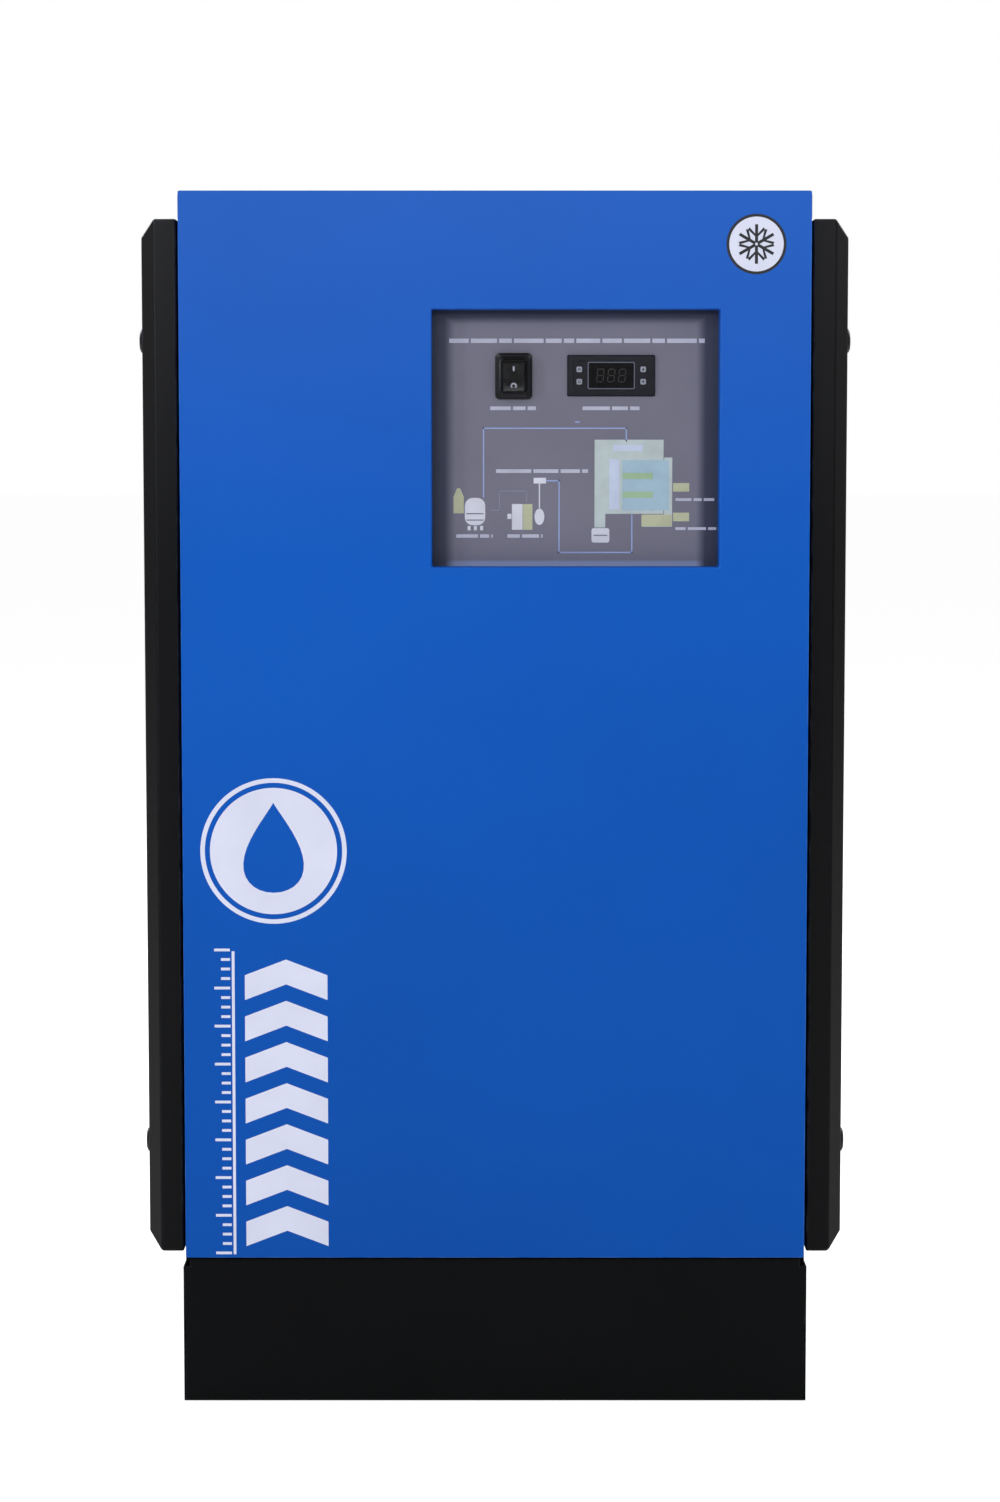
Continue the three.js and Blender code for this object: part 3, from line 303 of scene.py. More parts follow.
def quad_strip(bm, loop_a, loop_b):
    """Faces between two closed loops of the same number of points."""
    a = [bm.verts.new(p) for p in loop_a]
    b = [bm.verts.new(p) for p in loop_b]
    for i in range(len(a)):
        j = (i + 1) % len(a)
        bm.faces.new((a[i], a[j], b[j], b[i]))


def add_box(bm, low, high):
    lo, hi = Vector(low), Vector(high)
    made = bmesh.ops.create_cube(bm, size=1.0)
    scale = Matrix.Diagonal((*(hi - lo), 1.0))
    bmesh.ops.transform(bm, matrix=Matrix.Translation((lo + hi) / 2) @ scale, verts=made["verts"])


AXES = {
    "x": Matrix.Rotation(math.pi / 2, 4, "Y"),
    "y": Matrix.Rotation(-math.pi / 2, 4, "X"),
    "z": Matrix.Identity(4),
}


def add_lathe(bm, profile, axis="z", at=(0, 0, 0), sides=48, turn=0.0):
    """A profile of (radius, height) points turned round an axis. It starts and ends on it, or closes."""
    on_axis = profile[0][0] == 0
    rings = []
    place = Matrix.Translation(at) @ AXES[axis]
    for radius, height in profile:
        if radius == 0:
            rings.append([bm.verts.new(place @ Vector((0, 0, height)))])
            continue
        angles = [turn + 2 * math.pi * i / sides for i in range(sides)]
        points = [Vector((radius * math.cos(a), radius * math.sin(a), height)) for a in angles]
        rings.append([bm.verts.new(place @ p) for p in points])
    pairs = list(zip(rings, rings[1:])) + ([] if on_axis else [(rings[-1], rings[0])])
    for low, high in pairs:
        for i in range(sides):
            j = (i + 1) % sides
            corners = [low[i % len(low)], low[j % len(low)], high[j % len(high)], high[i % len(high)]]
            unique = list(dict.fromkeys(corners))
            if len(unique) > 2:
                bm.faces.new(unique)


def ring_profile(inner, outer, low, high):
    return [(inner, low), (outer, low), (outer, high), (inner, high)]


def add_face(bm, points):
    bm.faces.new([bm.verts.new(p) for p in points])


def add_prism(bm, outline, axis, low, high):
    """An outline of two coordinates, extruded along the axis it doesn't use."""
    slot = "xyz".index(axis)

    def place(point, along):
        return (*point[:slot], along, *point[slot:])

    near = [bm.verts.new(place(p, low)) for p in outline]
    far = [bm.verts.new(place(p, high)) for p in outline]
    bm.faces.new(near)
    bm.faces.new(far)
    for i in range(len(near)):
        j = (i + 1) % len(near)
        bm.faces.new((near[i], near[j], far[j], far[i]))


def rectangle(lo, hi, inset=0.0):
    a0, b0, a1, b1 = lo[0] + inset, lo[1] + inset, hi[0] - inset, hi[1] - inset
    return [(a0, b0), (a1, b0), (a1, b1), (a0, b1)]


def rounded(lo, hi, radius, steps=5):
    """A rectangle's outline with round corners."""
    (x0, y0), (x1, y1) = lo, hi
    corners = [(x1 - radius, y1 - radius, 0), (x0 + radius, y1 - radius, 90)]
    corners += [(x0 + radius, y0 + radius, 180), (x1 - radius, y0 + radius, 270)]
    points = []
    for x, y, start in corners:
        for i in range(steps + 1):
            a = math.radians(start + 90 * i / steps)
            points.append((x + radius * math.cos(a), y + radius * math.sin(a)))
    return points


def rounded_loop(cx, cz, half_w, half_h, y, radius):
    """The same outline about a middle, as points at the depth y."""
    outline = rounded((cx - half_w, cz - half_h), (cx + half_w, cz + half_h), radius)
    return [(x, y, z) for x, z in outline]


def circle(x, z, radius, steps=48, squeeze=1.0):
    angles = [2 * math.pi * i / steps for i in range(steps)]
    return [(x + radius * squeeze * math.cos(a), z + radius * math.sin(a)) for a in angles]


def link_object(name, mesh):
    piece = bpy.data.objects.new(name, mesh)
    bpy.context.scene.collection.objects.link(piece)
    return piece


def bevelled(piece, width, segments=3, angle=30.0):
    mod = piece.modifiers.new("edges", "BEVEL")
    mod.width = width
    mod.segments = segments
    mod.limit_method = "ANGLE"
    mod.angle_limit = math.radians(angle)
    mod.harden_normals = True


def make(
    name, bm, material, slot, body=BODY, replaces=(), bevel=0.4 * MM, segments=2, closed=True, smooth=True
):
    """The bmesh as a piece that rides on a body."""
    bmesh.ops.remove_doubles(bm, verts=bm.verts, dist=WELD)
    if closed:
        bmesh.ops.recalc_face_normals(bm, faces=bm.faces)
    for face in bm.faces:
        face.smooth = smooth
    for edge in bm.edges:
        if len(edge.link_faces) == 2 and edge.calc_face_angle(0.0) > math.radians(SHARP_ANGLE):
            edge.smooth = False
    mesh = bpy.data.meshes.new(name)
    bm.to_mesh(mesh)
    bm.free()
    mesh.materials.append(material)
    piece = link_object(name, mesh)
    if bevel:
        bevelled(piece, bevel, segments)
    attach(piece, body)
    if replaces:
        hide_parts(*replaces)
    return piece


def apply_modifiers(piece):
    graph = bpy.context.evaluated_depsgraph_get()
    mesh = bpy.data.meshes.new_from_object(piece.evaluated_get(graph))
    piece.modifiers.clear()
    piece.data = mesh


def carve(piece, cutter_bm, smooth=True):
    """Cuts the closed shapes in cutter_bm out of the piece."""
    bmesh.ops.recalc_face_normals(cutter_bm, faces=cutter_bm.faces)
    mesh = bpy.data.meshes.new("cutter")
    cutter_bm.to_mesh(mesh)
    cutter_bm.free()
    cutter = link_object("cutter", mesh)
    mod = piece.modifiers.new("carve", "BOOLEAN")
    mod.object = cutter
    mod.solver = "EXACT"
    piece.modifiers.move(len(piece.modifiers) - 1, 0)
    bpy.context.view_layer.update()
    apply_modifiers(piece)
    bpy.data.objects.remove(cutter)
    for polygon in piece.data.polygons:
        polygon.use_smooth = smooth


def turned(name, profile, axis, at, sides, material, slot, turn=0.0, **more):
    """A piece of one turned profile."""
    bm = bmesh.new()
    add_lathe(bm, profile, axis, at, sides, turn)
    return make(name, bm, material, slot, **more)


def sheet_metal(name, bm, outward, material, slot, replaces, bend=BEND, thick=SHEET):
    """An open skin, whose first face looks outwards, with round bends and its thickness inwards."""
    bmesh.ops.remove_doubles(bm, verts=bm.verts, dist=WELD)
    bmesh.ops.recalc_face_normals(bm, faces=bm.faces)
    bm.faces.ensure_lookup_table()
    bm.normal_update()
    if bm.faces[0].normal.dot(Vector(outward)) < 0:
        bmesh.ops.reverse_faces(bm, faces=bm.faces)
    piece = make(name, bm, material, slot, replaces=replaces, bevel=bend, segments=4, closed=False)
    thickness = piece.modifiers.new("thickness", "SOLIDIFY")
    thickness.thickness = thick
    thickness.offset = -1.0
    thickness.use_even_offset = True
    bevelled(piece, 0.25 * MM, 1, 60.0)
    piece.modifiers.new("normals", "WEIGHTED_NORMAL").weight = 100
    return piece


def grid_face(bm, us, vs, place, holes=()):
    """A flat face of cells between the stops us and vs, without the cells in holes."""
    points = [[bm.verts.new(place(u, v)) for u in us] for v in vs]
    for row in range(len(vs) - 1):
        for col in range(len(us) - 1):
            if (col, row) not in holes:
                low, high = points[row], points[row + 1]
                bm.faces.new((low[col], low[col + 1], high[col + 1], high[col]))


def welded(node, material):
    """The CAD node itself, with welded corners and a better material."""
    piece = frame["nodes"][node]
    piece.data.materials.clear()
    piece.data.materials.append(material)
    piece.modifiers.new("weld", "WELD").merge_threshold = CAD_WELD
    return piece


def keep_round(node, material):
    """A pipe or hose, rounded by subdivision."""
    piece = welded(node, material)
    smooth = piece.modifiers.new("round", "SUBSURF")
    smooth.levels = smooth.render_levels = 2
    piece.modifiers.new("normals", "WEIGHTED_NORMAL")


def keep(node, material, width=0.5 * MM, segments=2):
    """A CAD node with soft edges."""
    piece = welded(node, material)
    flat = piece.modifiers.new("flatten", "DECIMATE")
    flat.decimate_type = "DISSOLVE"
    flat.angle_limit = math.radians(0.5)
    if width:
        bevelled(piece, width, segments, 35.0)
    piece.modifiers.new("normals", "WEIGHTED_NORMAL")


# ---- front panel

(px0, FRONT_Y, pz0), (px1, panel_back, pz1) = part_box("front_panel")
(wx0, wz0), (wx1, wz1) = WINDOW_LOW, WINDOW_HIGH
WINDOW_DEPTH = 24.5 * MM
PANEL_HEM = 14 * MM


def front_panel():
    bm = bmesh.new()
    grid_face(bm, (px0, wx0, wx1, px1), (pz0, wz0, wz1, pz1), lambda u, v: (u, FRONT_Y, v), {(1, 1)})
    outer = rectangle((px0, pz0), (px1, pz1))
    inner = rectangle(WINDOW_LOW, WINDOW_HIGH)
    quad_strip(bm, [(x, FRONT_Y, z) for x, z in outer], [(x, panel_back, z) for x, z in outer])
    quad_strip(bm, [(x, FRONT_Y, z) for x, z in inner], [(x, FRONT_Y + WINDOW_DEPTH, z) for x, z in inner])
    hem = rectangle((px0, pz0), (px1, pz1), PANEL_HEM)
    quad_strip(bm, [(x, panel_back, z) for x, z in outer], [(x, panel_back, z) for x, z in hem])
    sheet_metal("front_panel_pan", bm, (0, -1, 0), BLUE, "blue_paint", ["front_panel"], bend=1.6 * MM)


# ---- side covers

LOUVRE_ROWS = 10
LOUVRE_PITCH = 26 * MM
LOUVRE_LOW_Z = 210 * MM
LOUVRE_SIZE = (190 * MM, 7 * MM)
LOUVRE_Y = (-128 * MM, 92 * MM)
COVER_RIM = 20 * MM
COVER_INSET = 15 * MM
COVER_LIP = 20 * MM
BLADE_THICK = 1.2 * MM
BLADE_REACH = 11 * MM
BLADE_OVERLAP = 4 * MM


def side_cover(side, sign):
    node = f"{side}_side_cover"
    (x0, y0, z0), (x1, y1, z1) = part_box(node)
    root = min(abs(x0), abs(x1))
    face = max(abs(x0), abs(x1))

    def loop(x, inset):
        return [(sign * x, y, z) for y, z in rectangle((y0, z0), (y1, z1), inset)]

    bm = bmesh.new()
    half = LOUVRE_SIZE[0] / 2
    us = [y0 + COVER_INSET]
    for middle in LOUVRE_Y:
        us += [middle - half, middle + half]
    us.append(y1 - COVER_INSET)
    vs = [z0 + COVER_INSET]
    for row in range(LOUVRE_ROWS):
        low = LOUVRE_LOW_Z + row * LOUVRE_PITCH
        vs += [low, low + LOUVRE_SIZE[1]]
    vs.append(z1 - COVER_INSET)
    holes = {(col, 2 * row + 1) for col in (1, 3) for row in range(LOUVRE_ROWS)}
    grid_face(bm, us, vs, lambda u, v: (sign * face, u, v), holes)
    quad_strip(bm, loop(face, COVER_INSET), loop(root + COVER_RIM, 0.0))
    quad_strip(bm, loop(root + COVER_RIM, 0.0), loop(root, 0.0))
    quad_strip(bm, loop(root, 0.0), loop(root, COVER_LIP))
    sheet_metal(f"{side}_side_cover_tray", bm, (sign, 0, 0), BLACK, "black_paint", [node], bend=1.8 * MM)

    blades = bmesh.new()
    x_in = face - SHEET - 0.1 * MM
    for middle in LOUVRE_Y:
        for row in range(LOUVRE_ROWS):
            top = LOUVRE_LOW_Z + row * LOUVRE_PITCH + LOUVRE_SIZE[1] + 0.4 * MM
            section = [(x_in, top + BLADE_THICK), (x_in, top), (x_in - BLADE_REACH, top - BLADE_REACH)]
            section.append((x_in - BLADE_REACH - BLADE_THICK, top - BLADE_REACH + BLADE_THICK))
            section = [(sign * x, z) for x, z in section]
            add_prism(blades, section, "y", middle - half - BLADE_OVERLAP, middle + half + BLADE_OVERLAP)
    make(f"{side}_louvre_blades", blades, BLACK, "black_paint", bevel=0.3 * MM, segments=1)


# ---- latches


LATCH_HEAD_HEIGHT = 6.6 * MM
LATCH_HEAD_R = 12 * MM
DRIVE_SLOT = (1.8 * MM, 6.2 * MM, 1.2 * MM)  # depth, half length, half width


def latch(side, level, sign):
    """A domed rotor with a slot for a screwdriver, its cam behind the cover, and a washer under the head."""
    name = f"{side}_{level}_latch"
    (x0, y0, z0), (x1, y1, z1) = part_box(name)
    tip, root = (x1, x0) if sign > 0 else (x0, x1)
    _, y, z = JOINTS[f"{name}_turn"]["pos_m"]
    height = abs(tip - root)
    head, r = LATCH_HEAD_HEIGHT, LATCH_HEAD_R
    bm = bmesh.new()
    profile = [(0, 0), (5 * MM, 0), (5 * MM, height - head), (r, height - head)]
    profile += [(r, height - 0.62 * head), (0.96 * r, height - 0.4 * head), (0.84 * r, height - 0.16 * head)]
    profile += [(0.68 * r, height - 0.03 * head), (0.55 * r, height), (0, height)]
    add_lathe(bm, [(radius, sign * h) for radius, h in profile], "x", (root, y, z), 40)
    piece = make(name + "_rotor", bm, LATCH_BLACK, "black_paint", name, [name], bevel=0)
    slot = bmesh.new()
    deep, long, wide = DRIVE_SLOT
    add_box(slot, (tip - deep, y - long, z - wide), (tip + 2 * MM, y + long, z + wide))
    carve(piece, slot)
    bevelled(piece, 0.3 * MM, 2)
    piece.modifiers.new("normals", "WEIGHTED_NORMAL")
    cam = bmesh.new()
    outline = rounded((y0, z - 7 * MM), (y + 8 * MM, z + 7 * MM), 4 * MM)
    add_prism(cam, outline, "x", root + sign * 1.0 * MM, root + sign * 4.6 * MM)
    make(name + "_cam", cam, ZINC, "zinc_steel", name)
    at = (sign * (abs(tip) - head - 0.25 * MM), y, z)
    washer = ring_profile(5.4 * MM, 14.5 * MM, 0.0, 0.2 * MM)
    turned(name + "_washer", washer, "x", at, 40, MOULDED, "black_plastic", bevel=0)


# ---- plinth

CORNER_CUT = (6 * MM, 8 * MM)
PLINTH_SLOT = (3 * MM, 13 * MM, 44 * MM, 70 * MM)  # from the front, and above the floor


def plinth():
    (x0, y0, z0), (x1, y1, z1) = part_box("plinth_front_cover")
    across, down = CORNER_CUT
    near, far, low, high = PLINTH_SLOT
    face = [(x0, z0), (x1, z0), (x1, z1 - down), (x1 - across, z1 - down), (x1 - across, z1)]
    face += [(x0 + across, z1), (x0 + across, z1 - down), (x0, z1 - down)]
    bm = bmesh.new()
    add_face(bm, [(x, y0, z) for x, z in face])
    for side_x in (x0, x1):
        us = (y0, y0 + near, y0 + far, y1)
        grid_face(bm, us, (z0, low, high, z1 - down), lambda u, v: (side_x, u, v), {(1, 1)})
    lip = [(x0 + across, y0, z1), (x1 - across, y0, z1), (x1 - across, y1, z1), (x0 + across, y1, z1)]
    add_face(bm, lip)
    add_face(bm, [(x0, y0, z0), (x1, y0, z0), (x1, y1, z0), (x0, y1, z0)])
    sheet_metal("plinth_front", bm, (0, -1, 0), PLINTH_BLACK, "black_paint", ["plinth_front_cover"], 1.5 * MM)
    for node in ("plinth_left_rail", "plinth_right_rail", "plinth_rear_member"):
        keep(node, PLINTH_BLACK, 0.8 * MM)
    keep("floor_plate", ZINC)


# ---- control panel

PLATE_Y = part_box("control_plate")[0][1]
LAYER = 0.12 * MM
WORD_SPACE = 1.9
CENTRE = Vector((102 * MM, 0, 913 * MM))  # the controller's middle: the print's places are counted from it


class Print:
    """One part of the plate's print, as thin raised shapes in millimetres from the controller's middle."""

    def __init__(self, name, ink, layer=1, bars=()):
        self.name, self.ink, self.bm = name, ink, bmesh.new()
        self.low = PLATE_Y - LAYER * layer
        self.high = PLATE_Y - LAYER * (layer - 1)
        for bar in bars:
            self.bar(*bar)

    def shape(self, outline):
        points = [(CENTRE.x + x * MM, CENTRE.z + z * MM) for x, z in outline]
        add_prism(self.bm, points, "y", self.low, self.high)

    def bar(self, x0, z0, x1, z1):
        self.shape([(x0, z0), (x1, z0), (x1, z1), (x0, z1)])

    def line(self, *points, width=1.1):
        half = width / 2
        for (xa, za), (xb, zb) in zip(points, points[1:]):
            self.bar(min(xa, xb) - half, min(za, zb) - half, max(xa, xb) + half, max(za, zb) + half)

    def words(self, x0, x1, z, height, lengths):
        """A row of plain dashes where a caption would be."""
        x, i = x0, 0
        while x < x1 - 1:
            end = min(x + lengths[i % len(lengths)], x1)
            self.bar(x, z - height / 2, end, z + height / 2)
            x, i = end + WORD_SPACE, i + 1

    def done(self):
        make("print_" + self.name, self.bm, INK[self.ink], "grey_panel", bevel=0, smooth=False)


def plate_print():
    captions = Print("captions", "caption")
    for row in (
        (-142, 82, 30.4, 3.8, (17, 23, 11, 26, 14, 9, 21)),
        (-106, -66, -28.5, 3.2, (18, 11)),
        (-25, 25, -28.5, 3.2, (24, 14)),
        (-101, -20, -83.5, 3.2, (31, 22, 17)),
        (-136, -104, -140.5, 3.0, (19, 8)),
        (-91, -60, -140.5, 3.0, (11, 15)),
        (57, 91, -108.5, 2.4, (14, 7)),
        (57, 93, -134.0, 2.4, (9, 16)),
    ):
        captions.words(*row)
    captions.done()

    flow = Print("refrigerant_lines", "line")
    flow.line((-112, -106), (-112, -46), (13.5, -46), (13.5, -57))
    flow.line((-56, -92), (-45.5, -92), (-45.5, -155), (18.6, -155), (18.6, -121))
    flow.line((-31, -40.5), (-28, -40.5))
    flow.done()
    fine = Print("control_lines", "dim")
    fine.line((-105, -118), (-98, -118), (-98, -101), (-74, -101), (-74, -111), width=0.7)
    fine.done()

    body = Print("exchanger_body", "pale")
    body.bar(-14.3, -121, 46.3, -56)
    body.shape([(28, -132.4), (54, -132.4), (54, -71.6), (46.9, -71.6), (46.9, -121.6), (28, -121.6)])
    body.bar(-14.3, -133, -4.8, -121)
    body.done()
    Print("exchanger_air", "aqua", 2, [(10, -118, 51, -74)]).done()
    Print("exchanger_cold", "green", 3, [(10.5, -90.5, 37, -85), (10.5, -107, 37, -101.5)]).done()
    Print("exchanger_tube", "mist", 2, [(-1.5, -117, 7.5, -73), (2, -66, 28, -60.5)]).done()
    ports = [(54.8, -101.5, 69, -94), (54.8, -127.5, 69, -120)]
    Print("exchanger_ports", "sand", bars=ports).done()
    Print("exchanger_foot", "sand", 2, [(27, -132, 53.5, -121.8)]).done()

    pale = Print("components", "white")
    pale.shape(rounded((-128.5, -131), (-110.5, -107), 7))
    for x in (-126, -120.5, -115):
        pale.bar(x, -135.5, x + 2.6, -131.6)
    pale.bar(-91, -125.5, -87.4, -121)
    pale.bar(-87, -135, -77.6, -112.4)
    pale.shape(circle(-62.8, -123.6, 7.2, 24, 0.6))
    pale.line((-62.8, -95), (-62.8, -115.5), width=1.0)
    pale.bar(-67.9, -94.4, -57, -89.4)
    pale.shape(rounded((-16.9, -146.3), (-1.2, -133.6), 2))
    pale.done()
    sand = Print("vessels", "sand")
    vessel = [(-138.4, -120.5), (-129.4, -120.5), (-129.4, -106)]
    vessel += [(-132.6, -98.5), (-135.2, -98.5), (-138.4, -106)]
    sand.shape(vessel)
    sand.bar(-77.2, -135, -69, -112.4)
    sand.done()
    seams = [(-127, -121.4, -112, -120.4), (-127, -127, -112, -126), (-15, -140.4, -3, -139.4)]
    Print("component_seams", "plate", 2, seams).done()


ROCKER_REST = 10  # degrees


def switch():
    (x0, y0, z0), (x1, y1, z1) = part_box("switch_cap")
    cx, cz = (x0 + x1) / 2, (z0 + z1) / 2
    w, h = (x1 - x0) / 2, (z1 - z0) / 2

    skins = [  # insets across and up in mm, depth, corner radius in mm
        (0, 0, y1, 4), (0, 0, y1 - 1.6 * MM, 4), (2.2, 2.2, y1 - 2.4 * MM, 4),
        (2.6, 2.4, y0 + 3.2 * MM, 4), (3.4, 3.2, y0 + 1 * MM, 4), (5.2, 5, y0, 3.4),
        (6.0, 5.8, y0 + 0.8 * MM, 3), (4.4, 4.2, y0 + 1.8 * MM, 3.4),
        (3.6, 3.4, y0 + 3.6 * MM, 3.4), (3.4, 3.4, y1, 3.4),
    ]
    loops = [rounded_loop(cx, cz, w - a * MM, h - b * MM, y, r * MM) for a, b, y, r in skins]
    bm = bmesh.new()
    for a, b in zip(loops, loops[1:] + loops[:1]):
        quad_strip(bm, a, b)
    make("switch_cap_rim", bm, CAP_RIM, "black_plastic", replaces=["switch_cap"], bevel=0)
    window = bmesh.new()
    outline = rounded((cx - w + 6.1 * MM, cz - h + 5.9 * MM), (cx + w - 6.1 * MM, cz + h - 5.9 * MM), 3 * MM)
    add_prism(window, outline, "y", y0 + 0.4 * MM, y0 + 1.2 * MM)
    make("switch_cap_membrane", window, CAP, "clear_cap", bevel=0.2 * MM)

    keep("switch_body", MOULDED, 0.4 * MM)
    (rx0, ry0, rz0), (rx1, ry1, rz1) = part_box("switch_rocker")
    _, py, pz = JOINTS["power_rocker_tilt"]["pos_m"]
    tilt = Matrix.Translation((0, py, pz)) @ Matrix.Rotation(math.radians(ROCKER_REST), 4, "X")
    half_h, rise, front, back = 12.5 * MM, 5.7 * MM, 3.5 * MM, 3.0 * MM
    outline = []
    for i in range(17):
        z = half_h * (i / 8 - 1)
        outline.append((-front - (rise - front) * (abs(z) / half_h) ** 1.5, z))
    outline += [(back, half_h - 0.5 * MM), (back, -half_h + 0.5 * MM)]
    bm = bmesh.new()
    add_prism(bm, outline, "x", rx0, rx1)
    bmesh.ops.transform(bm, matrix=tilt, verts=bm.verts)
    make("power_rocker_body", bm, GLOSS, "gloss_black", "power_rocker", ["switch_rocker"], bevel=0.5 * MM)
    mx = (rx0 + rx1) / 2
    marks = bmesh.new()
    face_y = -front - (rise - front) * 0.62**1.5 - 0.02 * MM
    stroke = rectangle((mx - 0.7 * MM, 5.4 * MM), (mx + 0.7 * MM, 10.4 * MM))
    add_prism(marks, stroke, "y", face_y - 0.35 * MM, face_y + 0.9 * MM)
    add_lathe(marks, ring_profile(1.5 * MM, 2.8 * MM, -0.35 * MM, 0.9 * MM), "y", (mx, face_y, -7.9 * MM), 28)
    bmesh.ops.transform(marks, matrix=tilt, verts=marks.verts)
    make("power_rocker_marks", marks, WHITE, "key_plastic", "power_rocker", bevel=0)


def controller():
    (x0, y0, z0), (x1, y1, z1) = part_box("controller_case")
    cx, cz = (x0 + x1) / 2, (z0 + z1) / 2
    w, h = (x1 - x0) / 2, (z1 - z0) / 2
    plate = y0 + 4 * MM

    skins = [  # inset in mm, depth, corner radius in mm
        (0, plate, 1.2), (0, plate - 1.4 * MM, 1.2), (1.2, y0 + 0.3 * MM, 1.2),
        (2.4, y0, 1.1), (5, y0, 1.0), (5.6, y0 + 0.8 * MM, 0.9),
    ]
    loops = [rounded_loop(cx, cz, w - a * MM, h - a * MM, y, r * MM) for a, y, r in skins]
    bm = bmesh.new()
    for a, b in zip(loops, loops[1:]):
        quad_strip(bm, a, b)
    add_face(bm, loops[-1])
    add_face(bm, loops[0])
    make("controller_bezel", bm, MOULDED, "black_plastic", replaces=["controller_case"], bevel=0)
    body = bmesh.new()
    add_box(body, (cx - 35.2 * MM, plate, cz - 14.4 * MM), (cx + 35.2 * MM, y1 - 6 * MM, cz + 14.4 * MM))
    add_box(body, (cx - 30 * MM, y1 - 6 * MM, cz - 12 * MM), (cx + 30 * MM, y1, cz - 4 * MM))
    make("controller_body", body, MOULDED, "black_plastic")

    (lx0, ly0, lz0), (lx1, ly1, lz1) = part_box("controller_lens")
    face = y0 + 0.8 * MM
    lens = bmesh.new()
    outline = rounded((lx0 + 1.2 * MM, lz0 + 1.2 * MM), (lx1 - 1.2 * MM, lz1 - 1.2 * MM), 0.8 * MM)
    add_prism(lens, outline, "y", face - 0.5 * MM, face)
    make("controller_display", lens, GLOSS, "gloss_black", replaces=["controller_lens"], bevel=0.2 * MM)
    rim = bmesh.new()
    w, h, back, line = (lx1 - lx0) / 2, (lz1 - lz0) / 2, face - 0.6 * MM, 0.9 * MM
    edge = rounded_loop(cx, cz, w, h, back, 1.4 * MM)
    inner = rounded_loop(cx, cz, w - line, h - line, back, 0.9 * MM)
    loops = [edge, inner, [(x, face, z) for x, _, z in inner], [(x, face, z) for x, _, z in edge]]
    for a, b in zip(loops, loops[1:] + loops[:1]):
        quad_strip(rim, a, b)
    make("controller_display_frame", rim, FRAME_GREY, "key_plastic", bevel=0)
    digits(cx, cz, face - 0.52 * MM)


def digits(cx, cz, y):
    """Three unlit seven-segment digits behind the lens."""
    bm = bmesh.new()
    length, thick, lean = 4.6 * MM, 0.9 * MM, 0.1
    for i in (-1, 0, 1):
        x = cx + i * 9.6 * MM

        def bar(u0, v0, u1, v1):
            corners = [(u0, v0), (u1, v0), (u1, v1), (u0, v1)]
            add_prism(bm, [(x + u + lean * v, cz + v) for u, v in corners], "y", y - 0.05 * MM, y)

        for v in (-length - thick, 0, length + thick):
            bar(-length / 2, v - thick / 2, length / 2, v + thick / 2)
        for u in (-length / 2 - 0.6 * thick, length / 2 + 0.6 * thick):
            for v in (-length / 2 - thick / 2, length / 2 + thick / 2):
                bar(u - thick / 2, v - length / 2, u + thick / 2, v + length / 2)
    make("controller_digits", bm, SEGMENT, "gloss_black", bevel=0)


def key(node, body):
    (x0, y0, z0), (x1, y1, z1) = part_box(node)
    bm = bmesh.new()
    add_prism(bm, rounded((x0, z0), (x1, z1), 1.2 * MM), "y", y0, y1)
    make(node + "_cap", bm, KEYS, "key_plastic", body, [node], bevel=0.4 * MM)
    cx, cz = (x0 + x1) / 2, (z0 + z1) / 2
    mark = bmesh.new()
    size = 1.3 * MM
    flip = -1 if node == "key_down" else 1
    if node in ("key_up", "key_down"):
        foot = cz - flip * size * 0.7
        outline = [(cx - size, foot), (cx + size, foot), (cx, cz + flip * size)]
        add_prism(mark, outline, "y", y0 - 0.05 * MM, y0 + 0.2 * MM)
    elif node == "key_power":
        add_lathe(mark, ring_profile(0.8 * MM, 1.25 * MM, -0.05 * MM, 0.2 * MM), "y", (cx, y0, cz), 24)
    else:
        for dz in (-0.8, 0, 0.8):
            outline = rectangle((cx - size, cz + (dz - 0.18) * MM), (cx + size, cz + (dz + 0.18) * MM))
            add_prism(mark, outline, "y", y0 - 0.05 * MM, y0 + 0.2 * MM)
    make(node + "_mark", mark, BLACK_INK, "black_plastic", body, bevel=0)


# ---- decals on the front panel

STICKER = 0.15 * MM


def sticker(name, material, outlines, layer=1, rings=()):
    bm = bmesh.new()
    low, high = FRONT_Y - STICKER * layer, FRONT_Y - STICKER * (layer - 1)
    for outline in outlines:
        add_prism(bm, outline, "y", low, high)
    for x, z, inner, outer in rings:
        add_lathe(bm, ring_profile(inner, outer, 0.0, high - low), "y", (x, low, z), 96)
    make(name, bm, material, "key_plastic", bevel=0, smooth=False)


def drop_outline(x, z, size, steps=36):
    """A water drop: a circle that runs out to a point at the top."""
    points = []
    for i in range(steps):
        a = 2 * math.pi * i / steps
        width = math.sin(a) * math.sin(a / 2) ** 1.3
        points.append((x + size * 0.92 * width, z + size * math.cos(a)))
    return points


